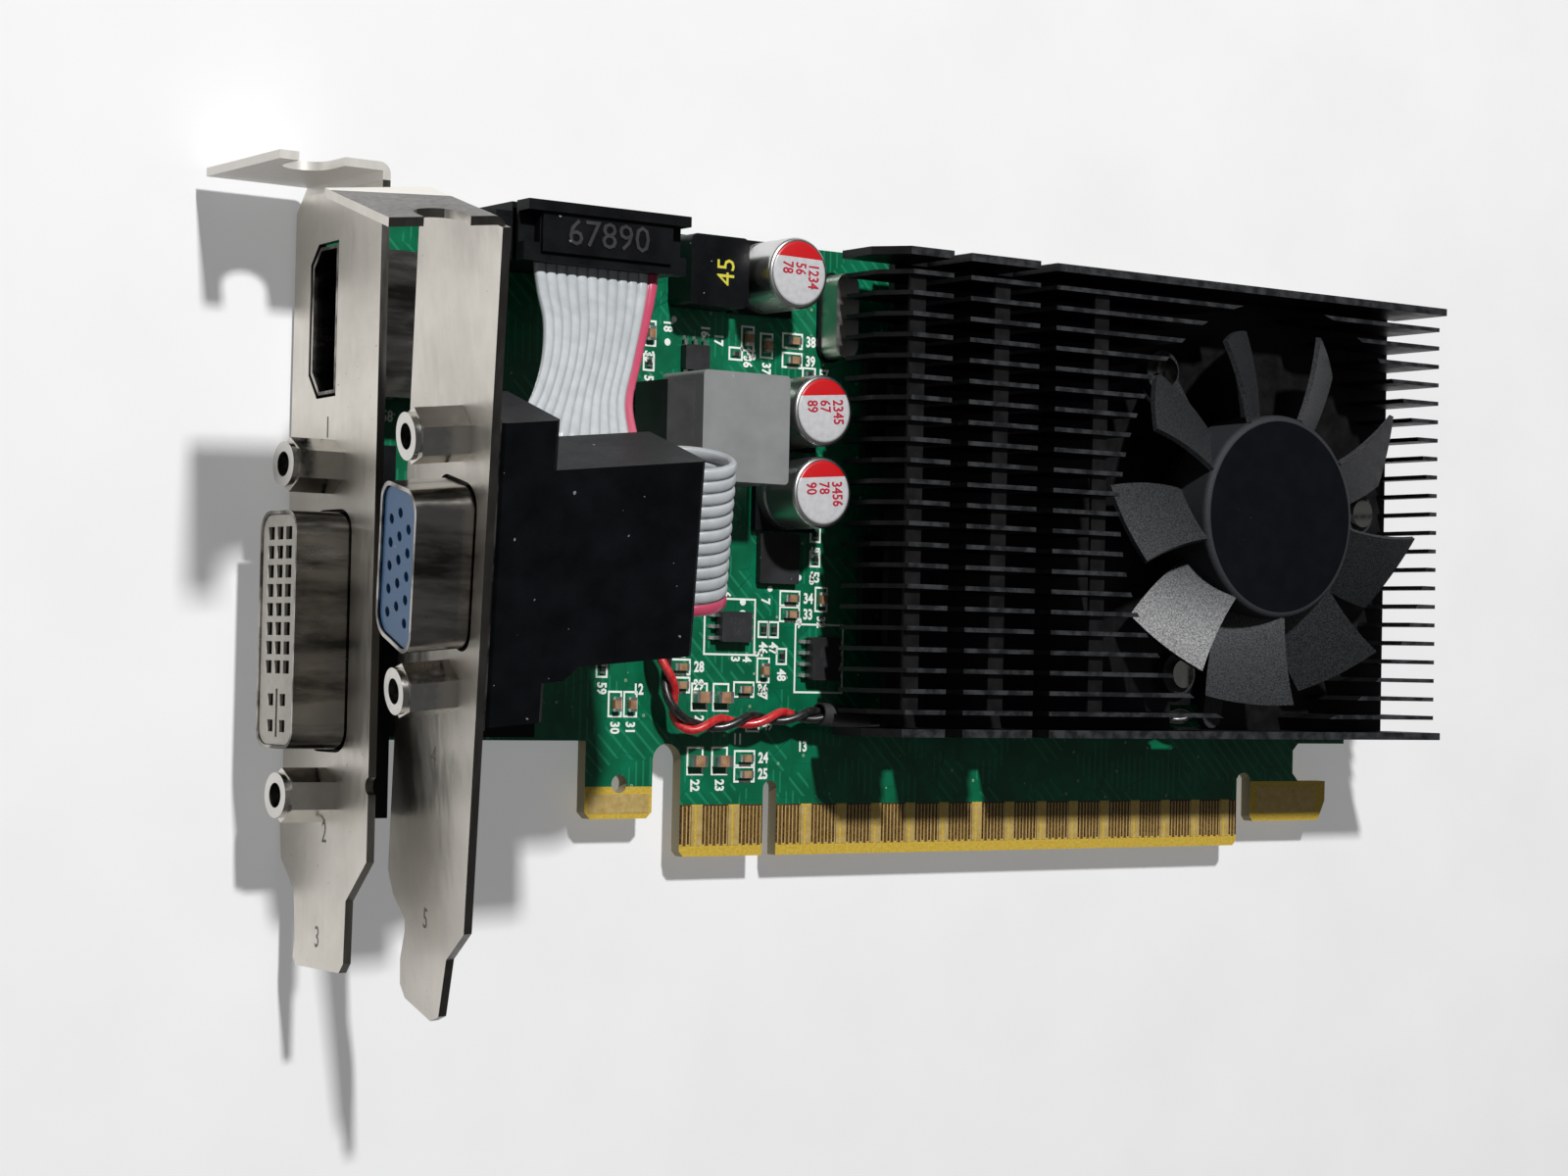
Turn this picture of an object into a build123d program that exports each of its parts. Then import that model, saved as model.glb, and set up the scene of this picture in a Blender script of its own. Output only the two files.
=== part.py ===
from build123d import *
import os
from math import cos, hypot, radians, sin, tan

# Low-profile graphics card with a loose second bracket for its VGA socket.
# Units are millimetres. X runs along the card away from the brackets, Y from the edge
# contacts to the top edge, Z out of the component side. X = 0 is the centre of the key
# notch, Y = 0 the edge of the contacts, Z = 0 the component face of the board.

# ---------------------------------------------------------------- driving dimensions
BOARD_T = 1.57
BOARD_LEFT, BOARD_RIGHT = -57.5, 91.0
BOARD_TOP, BOARD_LOW = 68.9, 12.8
NOTCH_W = 1.9
CONTACT_PITCH = 1.0

BRACKET_X = -59.15
SHEET_T = 0.86
BRACKET_LOW, BRACKET_HIGH = -3.41, 15.0
FLANGE_Y = 69.4
FLANGE_OUT = 11.3

JACK_HEX = 4.75
JACK_OUT = 5.6
JACK_BORE_R = 1.25
JACK_STUD_R = 1.4

DVI_Y, DVI_Z = 23.94, 6.05
DVI_JACK_HALF = 16.5
HDMI_Y = 55.45

HEADER_X, HEADER_Y = -31.55, 65.3
HEADER_PITCH, HEADER_COLS = 2.54, 6

FIN_COUNT = 24
FIN_FIRST_Y, FIN_LAST_Y = 14.17, 67.88
FIN_T, END_PLATE_T = 0.5, 0.9
FIN_FOOT_Z, FIN_TOP_Z = 5.0, 14.0
PLATE_T = 1.1
FIN_PITCH = (FIN_LAST_Y - FIN_FIRST_Y) / (FIN_COUNT - 1)
FIN_BANKS = {"a": (5.6, 13.9), "b": (16.4, 26.6), "c": (29.1, 92.5)}

FAN_X, FAN_Y = 65.3, 40.7
HUB_R, HUB_Z = 12.35, 14.0
BLADE_COUNT, BLADE_R, BLADE_Z, BLADE_T = 9, 22.9, 11.3, 0.6
WELL_R = 26.0
SHAFT_R, RUNNING_GAP = 1.0, 0.03

LEAD_R = 1.0
RIBBON_T, RIBBON_W = 0.9, 15.24

# The loose bracket leans on the card: its own frame has x through the plate, y along
# it and z across it, with the outer face at x = 0.
KIT_ORIGIN = (-57.427, 34.029, 17.957)
KIT_X_DIR = (0.9897, 0.1020, 0.1004)
KIT_Z_DIR = (-0.0675, -0.2861, 0.9558)
KIT_POSE = Plane(origin=KIT_ORIGIN, x_dir=KIT_X_DIR, z_dir=KIT_Z_DIR).location
KIT_PLATE_W = 18.42
KIT_FLANGE_Y = 33.3
VGA_Z = 11.8
VGA_JACK_HALF = 12.5
VGA_OUT = 6.0

# ---------------------------------------------------------------- helpers


def block(x0, x1, y0, y1, z0, z1):
    """Box between two corners."""
    box = Box(x1 - x0, y1 - y0, z1 - z0)
    return Pos((x0 + x1) / 2, (y0 + y1) / 2, (z0 + z1) / 2) * box


def rod(x, y, r, z0, z1):
    """Upright cylinder."""
    return Pos(x, y, (z0 + z1) / 2) * Cylinder(r, z1 - z0)


def bar(y, z, r, x0, x1):
    """Cylinder along X."""
    return Pos((x0 + x1) / 2, y, z) * Rot(0, 90, 0) * Cylinder(r, abs(x1 - x0))


def slab_z(points, z0, z1):
    """Prism on an XY outline."""
    return Pos(0, 0, z0) * extrude(Polygon(*points, align=None), z1 - z0)


def slab_x(points, x0, x1):
    """Prism along X on a (Y, Z) outline."""
    face = Plane.YZ * Polygon(*points, align=None)
    return Pos(x0, 0, 0) * extrude(face, x1 - x0, dir=(1, 0, 0))


def slab_y(points, y0, y1):
    """Prism along Y on an (X, Z) outline."""
    face = Plane(origin=(0, 0, 0), x_dir=(1, 0, 0), z_dir=(0, -1, 0)) * Polygon(*points, align=None)
    return Pos(0, y0, 0) * extrude(face, y1 - y0, dir=(0, 1, 0))


def d_prism(y, z, w_low, w_high, h, r, x0, x1):
    """Rounded trapezoid along X: w_low wide at its -Z side, w_high at its +Z side."""
    outline = Polygon((-w_low / 2, -h / 2), (w_low / 2, -h / 2), (w_high / 2, h / 2), (-w_high / 2, h / 2),
                      align=None)
    outline = fillet(outline.vertices(), r)
    face = Plane.YZ * Pos(y, z) * outline
    return Pos(x0, 0, 0) * extrude(face, x1 - x0, dir=(1, 0, 0))


def save(name, *shapes):
    """Write one node: every solid of the given shapes."""
    solids = [solid for shape in shapes for solid in shape.solids()]
    export_step(solids[0] if len(solids) == 1 else Compound(solids), f"parts/{name}.step")


def save_kit(name, *shapes):
    """Write one node of the loose bracket, moved from its own frame to the card's."""
    save(name, *[KIT_POSE * shape for shape in shapes])


# ---------------------------------------------------------------- board
TAB_LEFT = [(-24.6, 5.0), (-23.9, 4.3), (-16.6, 4.3), (-15.9, 5.0)]
EDGE_KEYED = [(-12.15, 0.6), (-11.6, 0.0), (71.6, 0.0), (72.15, 0.6)]
HOOK_TAB = [(74.5, 3.6), (75.0, 3.0), (86.5, 3.0), (87.7, 5.5), (87.7, 8.0), (82.9, 8.0)]
SCREW_POSTS = [(30.0, 25.0), (52.0, 60.0)]


def slot_cut(x0, x1, y_top):
    """Round-ended slot open at the board's lower edge."""
    r = (x1 - x0) / 2
    return block(x0, x1, -2, y_top - r, -3, 1) + rod(x0 + r, y_top - r, r, -3, 1)


def make_board():
    outline = [(BOARD_LEFT, BOARD_LOW), (-24.6, BOARD_LOW)] + TAB_LEFT + [(-15.9, 9.0), (-12.15, 9.0)]
    outline += EDGE_KEYED + [(72.15, 8.4), (74.5, 8.4)] + HOOK_TAB
    outline += [(81.9, 9.0), (81.9, 11.9), (82.8, BOARD_LOW), (BOARD_RIGHT, BOARD_LOW)]
    outline += [(BOARD_RIGHT, BOARD_TOP), (BOARD_LEFT, BOARD_TOP)]
    board = slab_z(outline, -BOARD_T, 0)
    board -= slot_cut(-15.9, -12.15, 12.5)
    board -= slot_cut(-NOTCH_W / 2, NOTCH_W / 2, 8.4)
    board -= slot_cut(72.15, 74.5, 9.1)
    board -= rod(-20.2, 8.1, 1.0, -3, 1)
    for x, y in SCREW_POSTS:
        board -= rod(x, y, 1.5, -3, 1)
    for column in range(HEADER_COLS):
        for row in (-0.5, 0.5):
            x = HEADER_X + (column - (HEADER_COLS - 1) / 2) * HEADER_PITCH
            board -= rod(x, HEADER_Y + row * HEADER_PITCH, 0.5, -3, 1)
    return board


def make_contacts():
    """Gold pads on both faces: 11 before the notch and 71 after it."""
    first = [-11.5 + CONTACT_PITCH * i for i in range(11)]
    second = [1.5 + CONTACT_PITCH * i for i in range(71)]
    pads = []
    for x in first + second:
        for z0, z1 in ((0.0, 0.04), (-BOARD_T - 0.04, -BOARD_T)):
            pads.append(block(x - 0.35, x + 0.35, 1.2, 5.6, z0, z1))
    pads.append(block(-24.2, -16.3, 4.9, 7.0, 0.0, 0.04))
    pads.append(block(75.6, 86.0, 4.0, 7.4, 0.0, 0.04))
    return pads


save("board", make_board())
save("edge_contacts", *make_contacts())

# ---------------------------------------------------------------- card bracket
BRACKET_IN = BRACKET_X + SHEET_T
BRACKET_TIP = [(1.2, 15.0), (-2.9, 10.9), (-9.1, 10.7), (-10.1, 9.8), (-10.1, 0.6), (-9.3, -0.2), (-7.2, 0.17),
               (-2.5, -0.35), (0.6, -3.35), (4.9, -3.85), (7.0, BRACKET_LOW)]
HDMI_HOLE = [(63.3, 1.75), (63.4, 6.1), (47.6, 6.1), (47.5, 2.0), (50.0, 0.1), (61.3, 0.1)]
HDMI_OUTER = [(62.95, 1.95), (63.0, 5.85), (47.95, 5.85), (47.85, 2.15), (50.15, 0.35), (61.15, 0.35)]


def hex_jack(y, z, face_x, stud):
    """Hex jackscrew: a hollow threaded hexagon with a round nose, and its stud behind the sheet."""
    hexagon = Plane.YZ * Pos(y, z) * RegularPolygon(JACK_HEX / 2, 6, major_radius=False)
    body = Pos(face_x - JACK_OUT + 0.7, 0, 0) * extrude(hexagon, JACK_OUT - 0.7, dir=(1, 0, 0))
    body += bar(y, z, JACK_HEX / 2 - 0.1, face_x - JACK_OUT, face_x - JACK_OUT + 0.7)
    body += bar(y, z, JACK_STUD_R, face_x, face_x + stud)
    return body - bar(y, z, JACK_BORE_R, face_x - JACK_OUT - 1, face_x - 0.6)


def make_card_bracket():
    outline = [(FLANGE_Y, 15.0)] + BRACKET_TIP + [(66.9, BRACKET_LOW), (FLANGE_Y, -1.2)]
    plate = slab_x(outline, BRACKET_X, BRACKET_IN)
    flange = block(BRACKET_X - FLANGE_OUT, BRACKET_IN, FLANGE_Y, FLANGE_Y + SHEET_T, -1.2, 15.0)
    plate += flange
    bend = plate.edges().filter_by(Axis.Z).sort_by_distance((BRACKET_IN, FLANGE_Y + SHEET_T, 7))[0]
    plate = fillet(bend, 1.2)
    notch_x = BRACKET_X - 6.7
    plate -= block(notch_x - 2.5, notch_x + 2.5, FLANGE_Y - 1, FLANGE_Y + 2, 12.0, 17)
    plate -= Pos(notch_x, FLANGE_Y, 12.0) * Rot(90, 0, 0) * Cylinder(2.5, 4)
    plate -= slab_x(HDMI_HOLE, BRACKET_X - 1, BRACKET_IN + 1)
    plate -= d_prism(DVI_Y, DVI_Z, 24.4, 24.4, 8.5, 2.4, BRACKET_X - 1, BRACKET_IN + 1)
    for side in (-1, 1):
        plate -= bar(DVI_Y + side * DVI_JACK_HALF, DVI_Z, 1.6, BRACKET_X - 1, BRACKET_IN + 1)
    return plate - bar(8.7, 15.3, 0.9, BRACKET_X - 1, BRACKET_IN + 1)


save("card_bracket", make_card_bracket())
save("dvi_jackscrews", *[hex_jack(DVI_Y + side * DVI_JACK_HALF, DVI_Z, BRACKET_X, 3.4) for side in (-1, 1)])

# ---------------------------------------------------------------- HDMI socket
HDMI_FRONT, HDMI_BACK = BRACKET_X + 0.1, -46.6
HDMI_INNER = [(62.6, 2.15), (62.65, 5.5), (48.3, 5.5), (48.2, 2.35), (50.35, 0.7), (60.95, 0.7)]


def make_hdmi_contacts():
    """19 contact blades: ten above the tongue and nine below it."""
    blades = []
    for i in range(19):
        y = HDMI_Y - 4.5 + 0.5 * i
        z = 3.65 if i % 2 == 0 else 2.3
        blades.append(block(-57.0, -50.0, y - 0.14, y + 0.14, z - 0.1, z + 0.1))
    return blades


hdmi_shell = slab_x(HDMI_OUTER, HDMI_FRONT, HDMI_BACK)
hdmi_shell -= slab_x(HDMI_INNER, HDMI_FRONT - 1, HDMI_BACK - 0.4)
save("hdmi_shell", hdmi_shell)
hdmi_block = slab_x([(y * 0.995 + 0.277, z * 0.97 + 0.1) for y, z in HDMI_INNER], -49.5, HDMI_BACK - 0.45)
save("hdmi_insulator", hdmi_block + block(-57.4, -49.5, HDMI_Y - 5.0, HDMI_Y + 5.0, 2.4, 3.55))
save("hdmi_contacts", *make_hdmi_contacts())

# ---------------------------------------------------------------- DVI socket
DVI_FACE = BRACKET_X - 5.9
DVI_BACK = -36.6


def make_dvi_insulator():
    """Ivory moulding with a grid of 8 by 3 square holes and the blade slots beside it."""
    body = d_prism(DVI_Y, DVI_Z, 22.9, 22.9, 7.3, 1.7, DVI_FACE + 0.2, -55.0)
    for column in range(8):
        for row in range(3):
            y = DVI_Y + 9.6 - 1.905 * column
            z = DVI_Z + 1.905 * (row - 1)
            body -= block(DVI_FACE - 1, DVI_FACE + 3.5, y - 0.65, y + 0.65, z - 0.65, z + 0.65)
    blade_y = DVI_Y - 8.3
    body -= block(DVI_FACE - 1, DVI_FACE + 3.5, blade_y - 2.4, blade_y + 2.4, DVI_Z - 0.25, DVI_Z + 0.25)
    for dy in (-1.3, 1.3):
        for dz in (-1.3, 1.3):
            y, z = blade_y + dy, DVI_Z + dz
            body -= block(DVI_FACE - 1, DVI_FACE + 3.5, y - 0.6, y + 0.6, z - 0.6, z + 0.6)
    return body


def make_dvi_housing():
    """Black moulding behind the bracket, stepped down to the board at its back."""
    front = block(BRACKET_IN + 0.05, -54.7, 5.3, 42.6, 0.0, 10.9)
    rear = block(-54.7, DVI_BACK, 13.4, 34.5, 0.0, 9.0)
    body = front + rear
    body -= d_prism(DVI_Y, DVI_Z, 23.9, 23.9, 8.1, 2.1, -60, -54.95)
    for side in (-1, 1):
        body -= bar(DVI_Y + side * DVI_JACK_HALF, DVI_Z, 1.5, -60, -55.2)
    body -= block(-60, -40, 0, BOARD_LOW, -1, 1.0)
    return body


dvi_shell = d_prism(DVI_Y, DVI_Z, 23.7, 23.7, 7.9, 2.0, DVI_FACE, -55.0)
dvi_shell -= d_prism(DVI_Y, DVI_Z, 23.0, 23.0, 7.4, 1.75, DVI_FACE - 1, -54)
save("dvi_shell", dvi_shell)
save("dvi_insulator", make_dvi_insulator())
save("dvi_housing", make_dvi_housing())

# ---------------------------------------------------------------- pin header
HEADER_TOP = 2.54
PIN_W = 0.64


def header_xy():
    """Centres of the 2 x 6 pins."""
    for column in range(HEADER_COLS):
        for row in (-0.5, 0.5):
            x = HEADER_X + (column - (HEADER_COLS - 1) / 2) * HEADER_PITCH
            yield x, HEADER_Y + row * HEADER_PITCH


header_base = block(HEADER_X - 7.62, HEADER_X + 7.62, HEADER_Y - 2.54, HEADER_Y + 2.54, 0, HEADER_TOP)
for pin_x, pin_y in header_xy():
    header_base -= block(pin_x - PIN_W / 2, pin_x + PIN_W / 2, pin_y - PIN_W / 2, pin_y + PIN_W / 2, -1, 3)
save("pin_header_base", header_base)
save("pin_header_pins", *[block(x - PIN_W / 2, x + PIN_W / 2, y - PIN_W / 2, y + PIN_W / 2, -2.6, 7.0)
                          for x, y in header_xy()])

# ---------------------------------------------------------------- parts on the board
CAP_XY = [(-3.2, 64.8), (0.6, 49.8), (0.7, 40.7)]
CAP_R, CAP_H, CAP_BASE_H = 4.0, 8.0, 0.9


def make_can(x, y):
    """Polymer capacitor can with a rolled groove near its base and a domed rim."""
    can = rod(x, y, CAP_R, CAP_BASE_H, CAP_H)
    groove = rod(x, y, CAP_R + 1, 2.0, 2.6) - rod(x, y, CAP_R - 0.3, 1.5, 3.1)
    can -= groove
    return fillet(can.edges().filter_by(GeomType.CIRCLE).sort_by(Axis.Z)[-1], 0.5)


def make_can_base(x, y):
    """Square foot with two cut corners."""
    half = 4.15
    cut = 1.3
    return slab_z([(x - half, y - half), (x + half, y - half), (x + half, y + half - cut),
                   (x + half - cut, y + half), (x - half + cut, y + half), (x - half, y + half - cut)],
                  0, CAP_BASE_H)


save("capacitor_cans", *[make_can(x, y) for x, y in CAP_XY])
save("capacitor_bases", *[make_can_base(x, y) for x, y in CAP_XY])

inductor = fillet(block(-15.3, -7.6, 60.7, 68.5, 0.1, 4.6).edges().filter_by(Axis.Z), 0.8)
save("small_inductor", inductor)
save("small_inductor_pads", block(-15.1, -13.3, 62.6, 66.6, 0, 0.1), block(-9.6, -7.8, 62.6, 66.6, 0, 0.1))
choke = block(-16.3, -4.8, 41.25, 53.2, 1.0, 9.0)
save("choke_core", fillet(choke.edges().filter_by(Axis.Z), 0.5))
save("choke_winding", block(-19.9, -16.3, 42.4, 52.0, 1.0, 7.4), block(-15.6, -5.5, 43.0, 51.4, 0.3, 1.0))
save("choke_leads", block(-18.8, -16.4, 44.0, 46.2, 0, 1.0), block(-18.8, -16.4, 48.2, 50.4, 0, 1.0))
crystal = SlotOverall(9.7, 3.1, rotation=90)
save("crystal", Pos(6.95, 61.25, 0.4) * extrude(crystal, 3.1))
save("crystal_foot", Pos(6.95, 61.25, 0) * extrude(SlotOverall(10.3, 3.7, rotation=90), 0.4))

# chips: name, low corner, high corner, height; leads leave the two sides across Y or X
SMALL_CHIPS = [((-8.0, 23.9), (-4.0, 27.3), 1.5, "x"), ((4.5, 19.8), (8.4, 24.7), 1.6, "x"),
               ((-13.4, 53.9), (-10.2, 56.7), 1.1, "y"), ((-2.6, 30.6), (2.8, 36.2), 0.9, "none")]
LEAD_PITCH = 1.27


def make_chip(chip):
    (x0, y0), (x1, y1), height, _ = chip
    body = block(x0, x1, y0, y1, 0.15, height)
    return chamfer(body.edges().filter_by(Axis.Z), 0.15)


def make_leads(chip):
    """Gull-wing leads as a riser and a foot on each of two sides."""
    (x0, y0), (x1, y1), height, sides = chip
    if sides == "none":
        return []
    leads = []
    along = (y1 - y0) if sides == "x" else (x1 - x0)
    count = max(2, int(along / LEAD_PITCH) + 1)
    start = -(count - 1) / 2 * LEAD_PITCH
    mid = height / 2
    for i in range(count):
        offset = start + i * LEAD_PITCH
        for side in (-1, 1):
            foot = [(0, mid - 0.1), (0.45, mid - 0.1), (0.45, 0.0), (1.0, 0.0), (1.0, 0.18), (0.63, 0.18),
                    (0.63, mid + 0.1), (0, mid + 0.1)]
            if sides == "x":
                edge = x1 if side > 0 else x0
                y = (y0 + y1) / 2 + offset
                leads.append(slab_y([(edge + side * a, b) for a, b in foot], y - 0.2, y + 0.2))
            else:
                edge = y1 if side > 0 else y0
                x = (x0 + x1) / 2 + offset
                leads.append(slab_x([(edge + side * a, b) for a, b in foot], x - 0.2, x + 0.2))
    return leads


save("chip_bodies", *[make_chip(chip) for chip in SMALL_CHIPS])
save("chip_leads", *[lead for chip in SMALL_CHIPS for lead in make_leads(chip)])

# ceramic capacitors and resistors: centre, length, width, height, long axis
CHIP_CAPS = [(-9.9, 17.7, 2.0, 1.25, 1.2, "x"), (-7.0, 17.7, 2.0, 1.25, 1.2, "x"), (-10.3, 10.6, 2.0, 1.25, 1.2, "x"),
             (-7.0, 10.6, 2.0, 1.25, 1.2, "x"), (-3.6, 10.9, 1.6, 0.8, 0.8, "x"), (-3.6, 9.1, 1.6, 0.8, 0.8, "x"),
             (-3.9, 18.6, 1.6, 0.8, 0.8, "x"), (-1.3, 20.8, 1.6, 0.8, 0.8, "y"), (-12.6, 21.0, 1.6, 0.8, 0.8, "x"),
             (-12.6, 19.0, 1.6, 0.8, 0.8, "x"), (-21.0, 16.8, 1.6, 0.8, 0.8, "y"), (-19.0, 16.8, 1.6, 0.8, 0.8, "y"),
             (6.6, 29.0, 1.6, 0.8, 0.8, "y"), (2.2, 27.2, 1.6, 0.8, 0.8, "x"), (2.2, 29.0, 1.6, 0.8, 0.8, "x"),
             (-17.6, 57.6, 1.6, 0.8, 0.8, "y"), (-4.4, 58.0, 1.6, 0.8, 0.8, "y"), (-1.8, 57.4, 1.6, 0.8, 0.8, "y"),
             (1.8, 58.2, 1.6, 0.8, 0.8, "x"), (1.8, 56.0, 1.6, 0.8, 0.8, "x"), (-17.4, 33.0, 1.6, 0.8, 0.8, "x"),
             (-11.0, 34.6, 1.6, 0.8, 0.8, "y"), (-46.0, 40.6, 1.6, 0.8, 0.8, "y"), (-44.0, 44.0, 1.6, 0.8, 0.8, "x")]
CHIP_RESISTORS = [(-14.6, 26.0, 1.0, 0.5, 0.35, "x"), (-14.6, 24.8, 1.0, 0.5, 0.35, "x"), (-1.4, 25.4, 1.0, 0.5, 0.35, "y"),
                  (0.0, 25.4, 1.0, 0.5, 0.35, "y"), (1.2, 22.4, 1.0, 0.5, 0.35, "y"), (-2.6, 14.6, 1.0, 0.5, 0.35, "x"),
                  (-14.0, 30.0, 1.0, 0.5, 0.35, "x"), (-8.5, 30.4, 1.0, 0.5, 0.35, "y"), (5.6, 33.6, 1.0, 0.5, 0.35, "y"),
                  (5.6, 36.4, 1.0, 0.5, 0.35, "y"), (-18.8, 61.0, 1.0, 0.5, 0.35, "y"), (-17.6, 54.4, 1.0, 0.5, 0.35, "y"),
                  (-6.0, 56.2, 1.0, 0.5, 0.35, "x"), (4.2, 54.6, 1.0, 0.5, 0.35, "x"), (-52.0, 46.4, 1.0, 0.5, 0.35, "x"),
                  (-22.8, 20.6, 1.0, 0.5, 0.35, "y")]
END_SHARE = 0.2


def chip_pieces(part, piece):
    """Body or the two end caps of a small two-ended part."""
    x, y, length, width, height, along = part
    half = length / 2
    inner = half - END_SHARE * length
    spans = [(-inner, inner)] if piece == "body" else [(-half, -inner), (inner, half)]
    low, high = (0.04, height - 0.03) if piece == "body" else (0.0, height)
    solids = []
    for a, b in spans:
        if along == "x":
            solids.append(block(x + a, x + b, y - width / 2, y + width / 2, low, high))
        else:
            solids.append(block(x - width / 2, x + width / 2, y + a, y + b, low, high))
    return solids


save("ceramic_capacitors", *[s for part in CHIP_CAPS for s in chip_pieces(part, "body")])
save("chip_resistors", *[s for part in CHIP_RESISTORS for s in chip_pieces(part, "body")])
save("chip_end_caps", *[s for part in CHIP_CAPS + CHIP_RESISTORS for s in chip_pieces(part, "ends")])

# ---------------------------------------------------------------- processor and memory
GPU_X, GPU_Y = 40.0, 42.0
BASE_Z = 2.1
save("gpu_package", block(GPU_X - 14.5, GPU_X + 14.5, GPU_Y - 14.5, GPU_Y + 14.5, 0.3, 1.3))
save("gpu_die", block(GPU_X - 6, GPU_X + 6, GPU_Y - 6, GPU_Y + 6, 1.3, 2.0))
save("thermal_paste", block(GPU_X - 6, GPU_X + 6, GPU_Y - 6, GPU_Y + 6, 2.0, BASE_Z))
MEMORY_XY = [(16.0, 30.0), (16.0, 52.0), (66.0, 26.0), (66.0, 54.0)]
save("memory_chips", *[block(x - 4.5, x + 4.5, y - 6.5, y + 6.5, 0.3, 1.3) for x, y in MEMORY_XY])

# ---------------------------------------------------------------- heatsink


def make_base():
    """Base plate under the fins, with a block on the processor and a slot for the lead."""
    base = block(12.4, 92.5, 13.75, 68.3, FIN_FOOT_Z - PLATE_T, FIN_FOOT_Z)
    base += block(22.0, 58.0, 23.0, 62.0, BASE_Z, FIN_FOOT_Z - PLATE_T)
    base -= block(56.0, 64.0, 14.9, 17.6, BASE_Z, FIN_FOOT_Z + 1)
    for x, y in SCREW_POSTS:
        base -= rod(x, y, 1.2, BASE_Z - 1, FIN_FOOT_Z - 0.8)
    for angle in ARM_ANGLES:
        x, y = on_circle(ARM_R, angle)
        base -= rod(x, y, 0.8, FIN_FOOT_Z - PLATE_T - 0.5, FIN_FOOT_Z + 1)
    return base


def on_circle(r, angle):
    """Point at r and angle (degrees) about the fan's axis."""
    return FAN_X + r * cos(radians(angle)), FAN_Y + r * sin(radians(angle))


ARM_ANGLES = (4.0, 126.0, 245.0)
ARM_R = 21.3


def fin_profile(bank):
    """(X, Z) outline of a fin; the first bank's left end is cut back below its top."""
    x0, x1 = FIN_BANKS[bank]
    if bank == "a":
        return [(x0, FIN_FOOT_Z), (x1, FIN_FOOT_Z), (x1, FIN_TOP_Z), (8.2, FIN_TOP_Z), (x0, 10.4)]
    return [(x0, FIN_FOOT_Z), (x1, FIN_FOOT_Z), (x1, FIN_TOP_Z), (x0, FIN_TOP_Z)]


def make_fins(bank):
    """Every inner fin of one bank, with the fan's well cut from the long bank."""
    well = rod(FAN_X, FAN_Y, WELL_R, FIN_FOOT_Z - 1, FIN_TOP_Z + 1)
    fins = []
    for i in range(1, FIN_COUNT - 1):
        y = FIN_FIRST_Y + i * FIN_PITCH
        fin = slab_y(fin_profile(bank), y - FIN_T / 2, y + FIN_T / 2)
        if bank == "c" and abs(y - FAN_Y) < WELL_R:
            fin -= well
        fins.append(fin)
    return fins


def make_end_plates():
    """Thicker plates that close the stack, with the same three banks above one foot."""
    plates = []
    for y in (FIN_FIRST_Y, FIN_LAST_Y):
        plate = slab_y([(4.9, FIN_FOOT_Z), (93.8, FIN_FOOT_Z), (93.8, FIN_TOP_Z), (7.8, FIN_TOP_Z), (4.9, 10.4)],
                       y - END_PLATE_T / 2, y + END_PLATE_T / 2)
        for gap in ((13.9, 16.4), (26.6, 29.1)):
            plate -= block(gap[0], gap[1], y - 1, y + 1, 5.9, 15)
        plates.append(plate)
    return plates


def make_tabs(x):
    """Row of interlocking tabs bent from the fins, between each fin and the next."""
    tabs = []
    for i in range(1, FIN_COUNT - 2):
        y = FIN_FIRST_Y + i * FIN_PITCH
        if hypot(x - FAN_X, y + FIN_PITCH / 2 - FAN_Y) < WELL_R + 1.5:
            continue
        tabs.append(block(x - 1.1, x + 1.1, y + FIN_T / 2, y + FIN_PITCH - FIN_T / 2, 12.9, 13.3))
    return tabs


save("heatsink_base", make_base())
for bank_name in FIN_BANKS:
    save(f"fin_bank_{bank_name}", *make_fins(bank_name))
save("heatsink_end_plates", *make_end_plates())
save("fin_tabs", *make_tabs(9.4), *make_tabs(21.6), *make_tabs(36.6))
save("heatsink_screws", *[rod(x, y, 2.4, -2.9, -BOARD_T) + rod(x, y, 1.18, -BOARD_T, FIN_FOOT_Z - 1.0)
                          for x, y in SCREW_POSTS])

# ---------------------------------------------------------------- fan
FRAME_Z = FIN_FOOT_Z + 1.2
BEARING_R = 2.6


def make_fan_frame():
    """Disc on the heatsink's base with three screw arms, a bearing tube and a lead arm."""
    frame = rod(FAN_X, FAN_Y, 11.5, FIN_FOOT_Z, FRAME_Z)
    for angle in ARM_ANGLES + (262.0,):
        reach = ARM_R if angle != 262.0 else 24.6
        arm = Pos(reach / 2, 0, (FIN_FOOT_Z + FRAME_Z) / 2) * Box(reach, 3.0, 1.2)
        frame += Pos(FAN_X, FAN_Y, 0) * Rot(0, 0, angle) * arm
        frame += rod(*on_circle(reach, angle), 2.6 if reach == ARM_R else 1.5, FIN_FOOT_Z, FRAME_Z)
    frame += rod(FAN_X, FAN_Y, BEARING_R + 0.6, FIN_FOOT_Z, 11.8)
    frame -= rod(FAN_X, FAN_Y, BEARING_R, FIN_FOOT_Z + 0.6, 13)
    for angle in ARM_ANGLES:
        frame -= rod(*on_circle(ARM_R, angle), 0.9, FIN_FOOT_Z - 1, FRAME_Z + 1)
    return frame


def make_bearing():
    """Plain sleeve bearing, a running fit on the shaft."""
    bush = rod(FAN_X, FAN_Y, BEARING_R, FIN_FOOT_Z + 0.6, 11.8)
    return bush - rod(FAN_X, FAN_Y, SHAFT_R + RUNNING_GAP, FIN_FOOT_Z + 0.8, 13)


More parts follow.
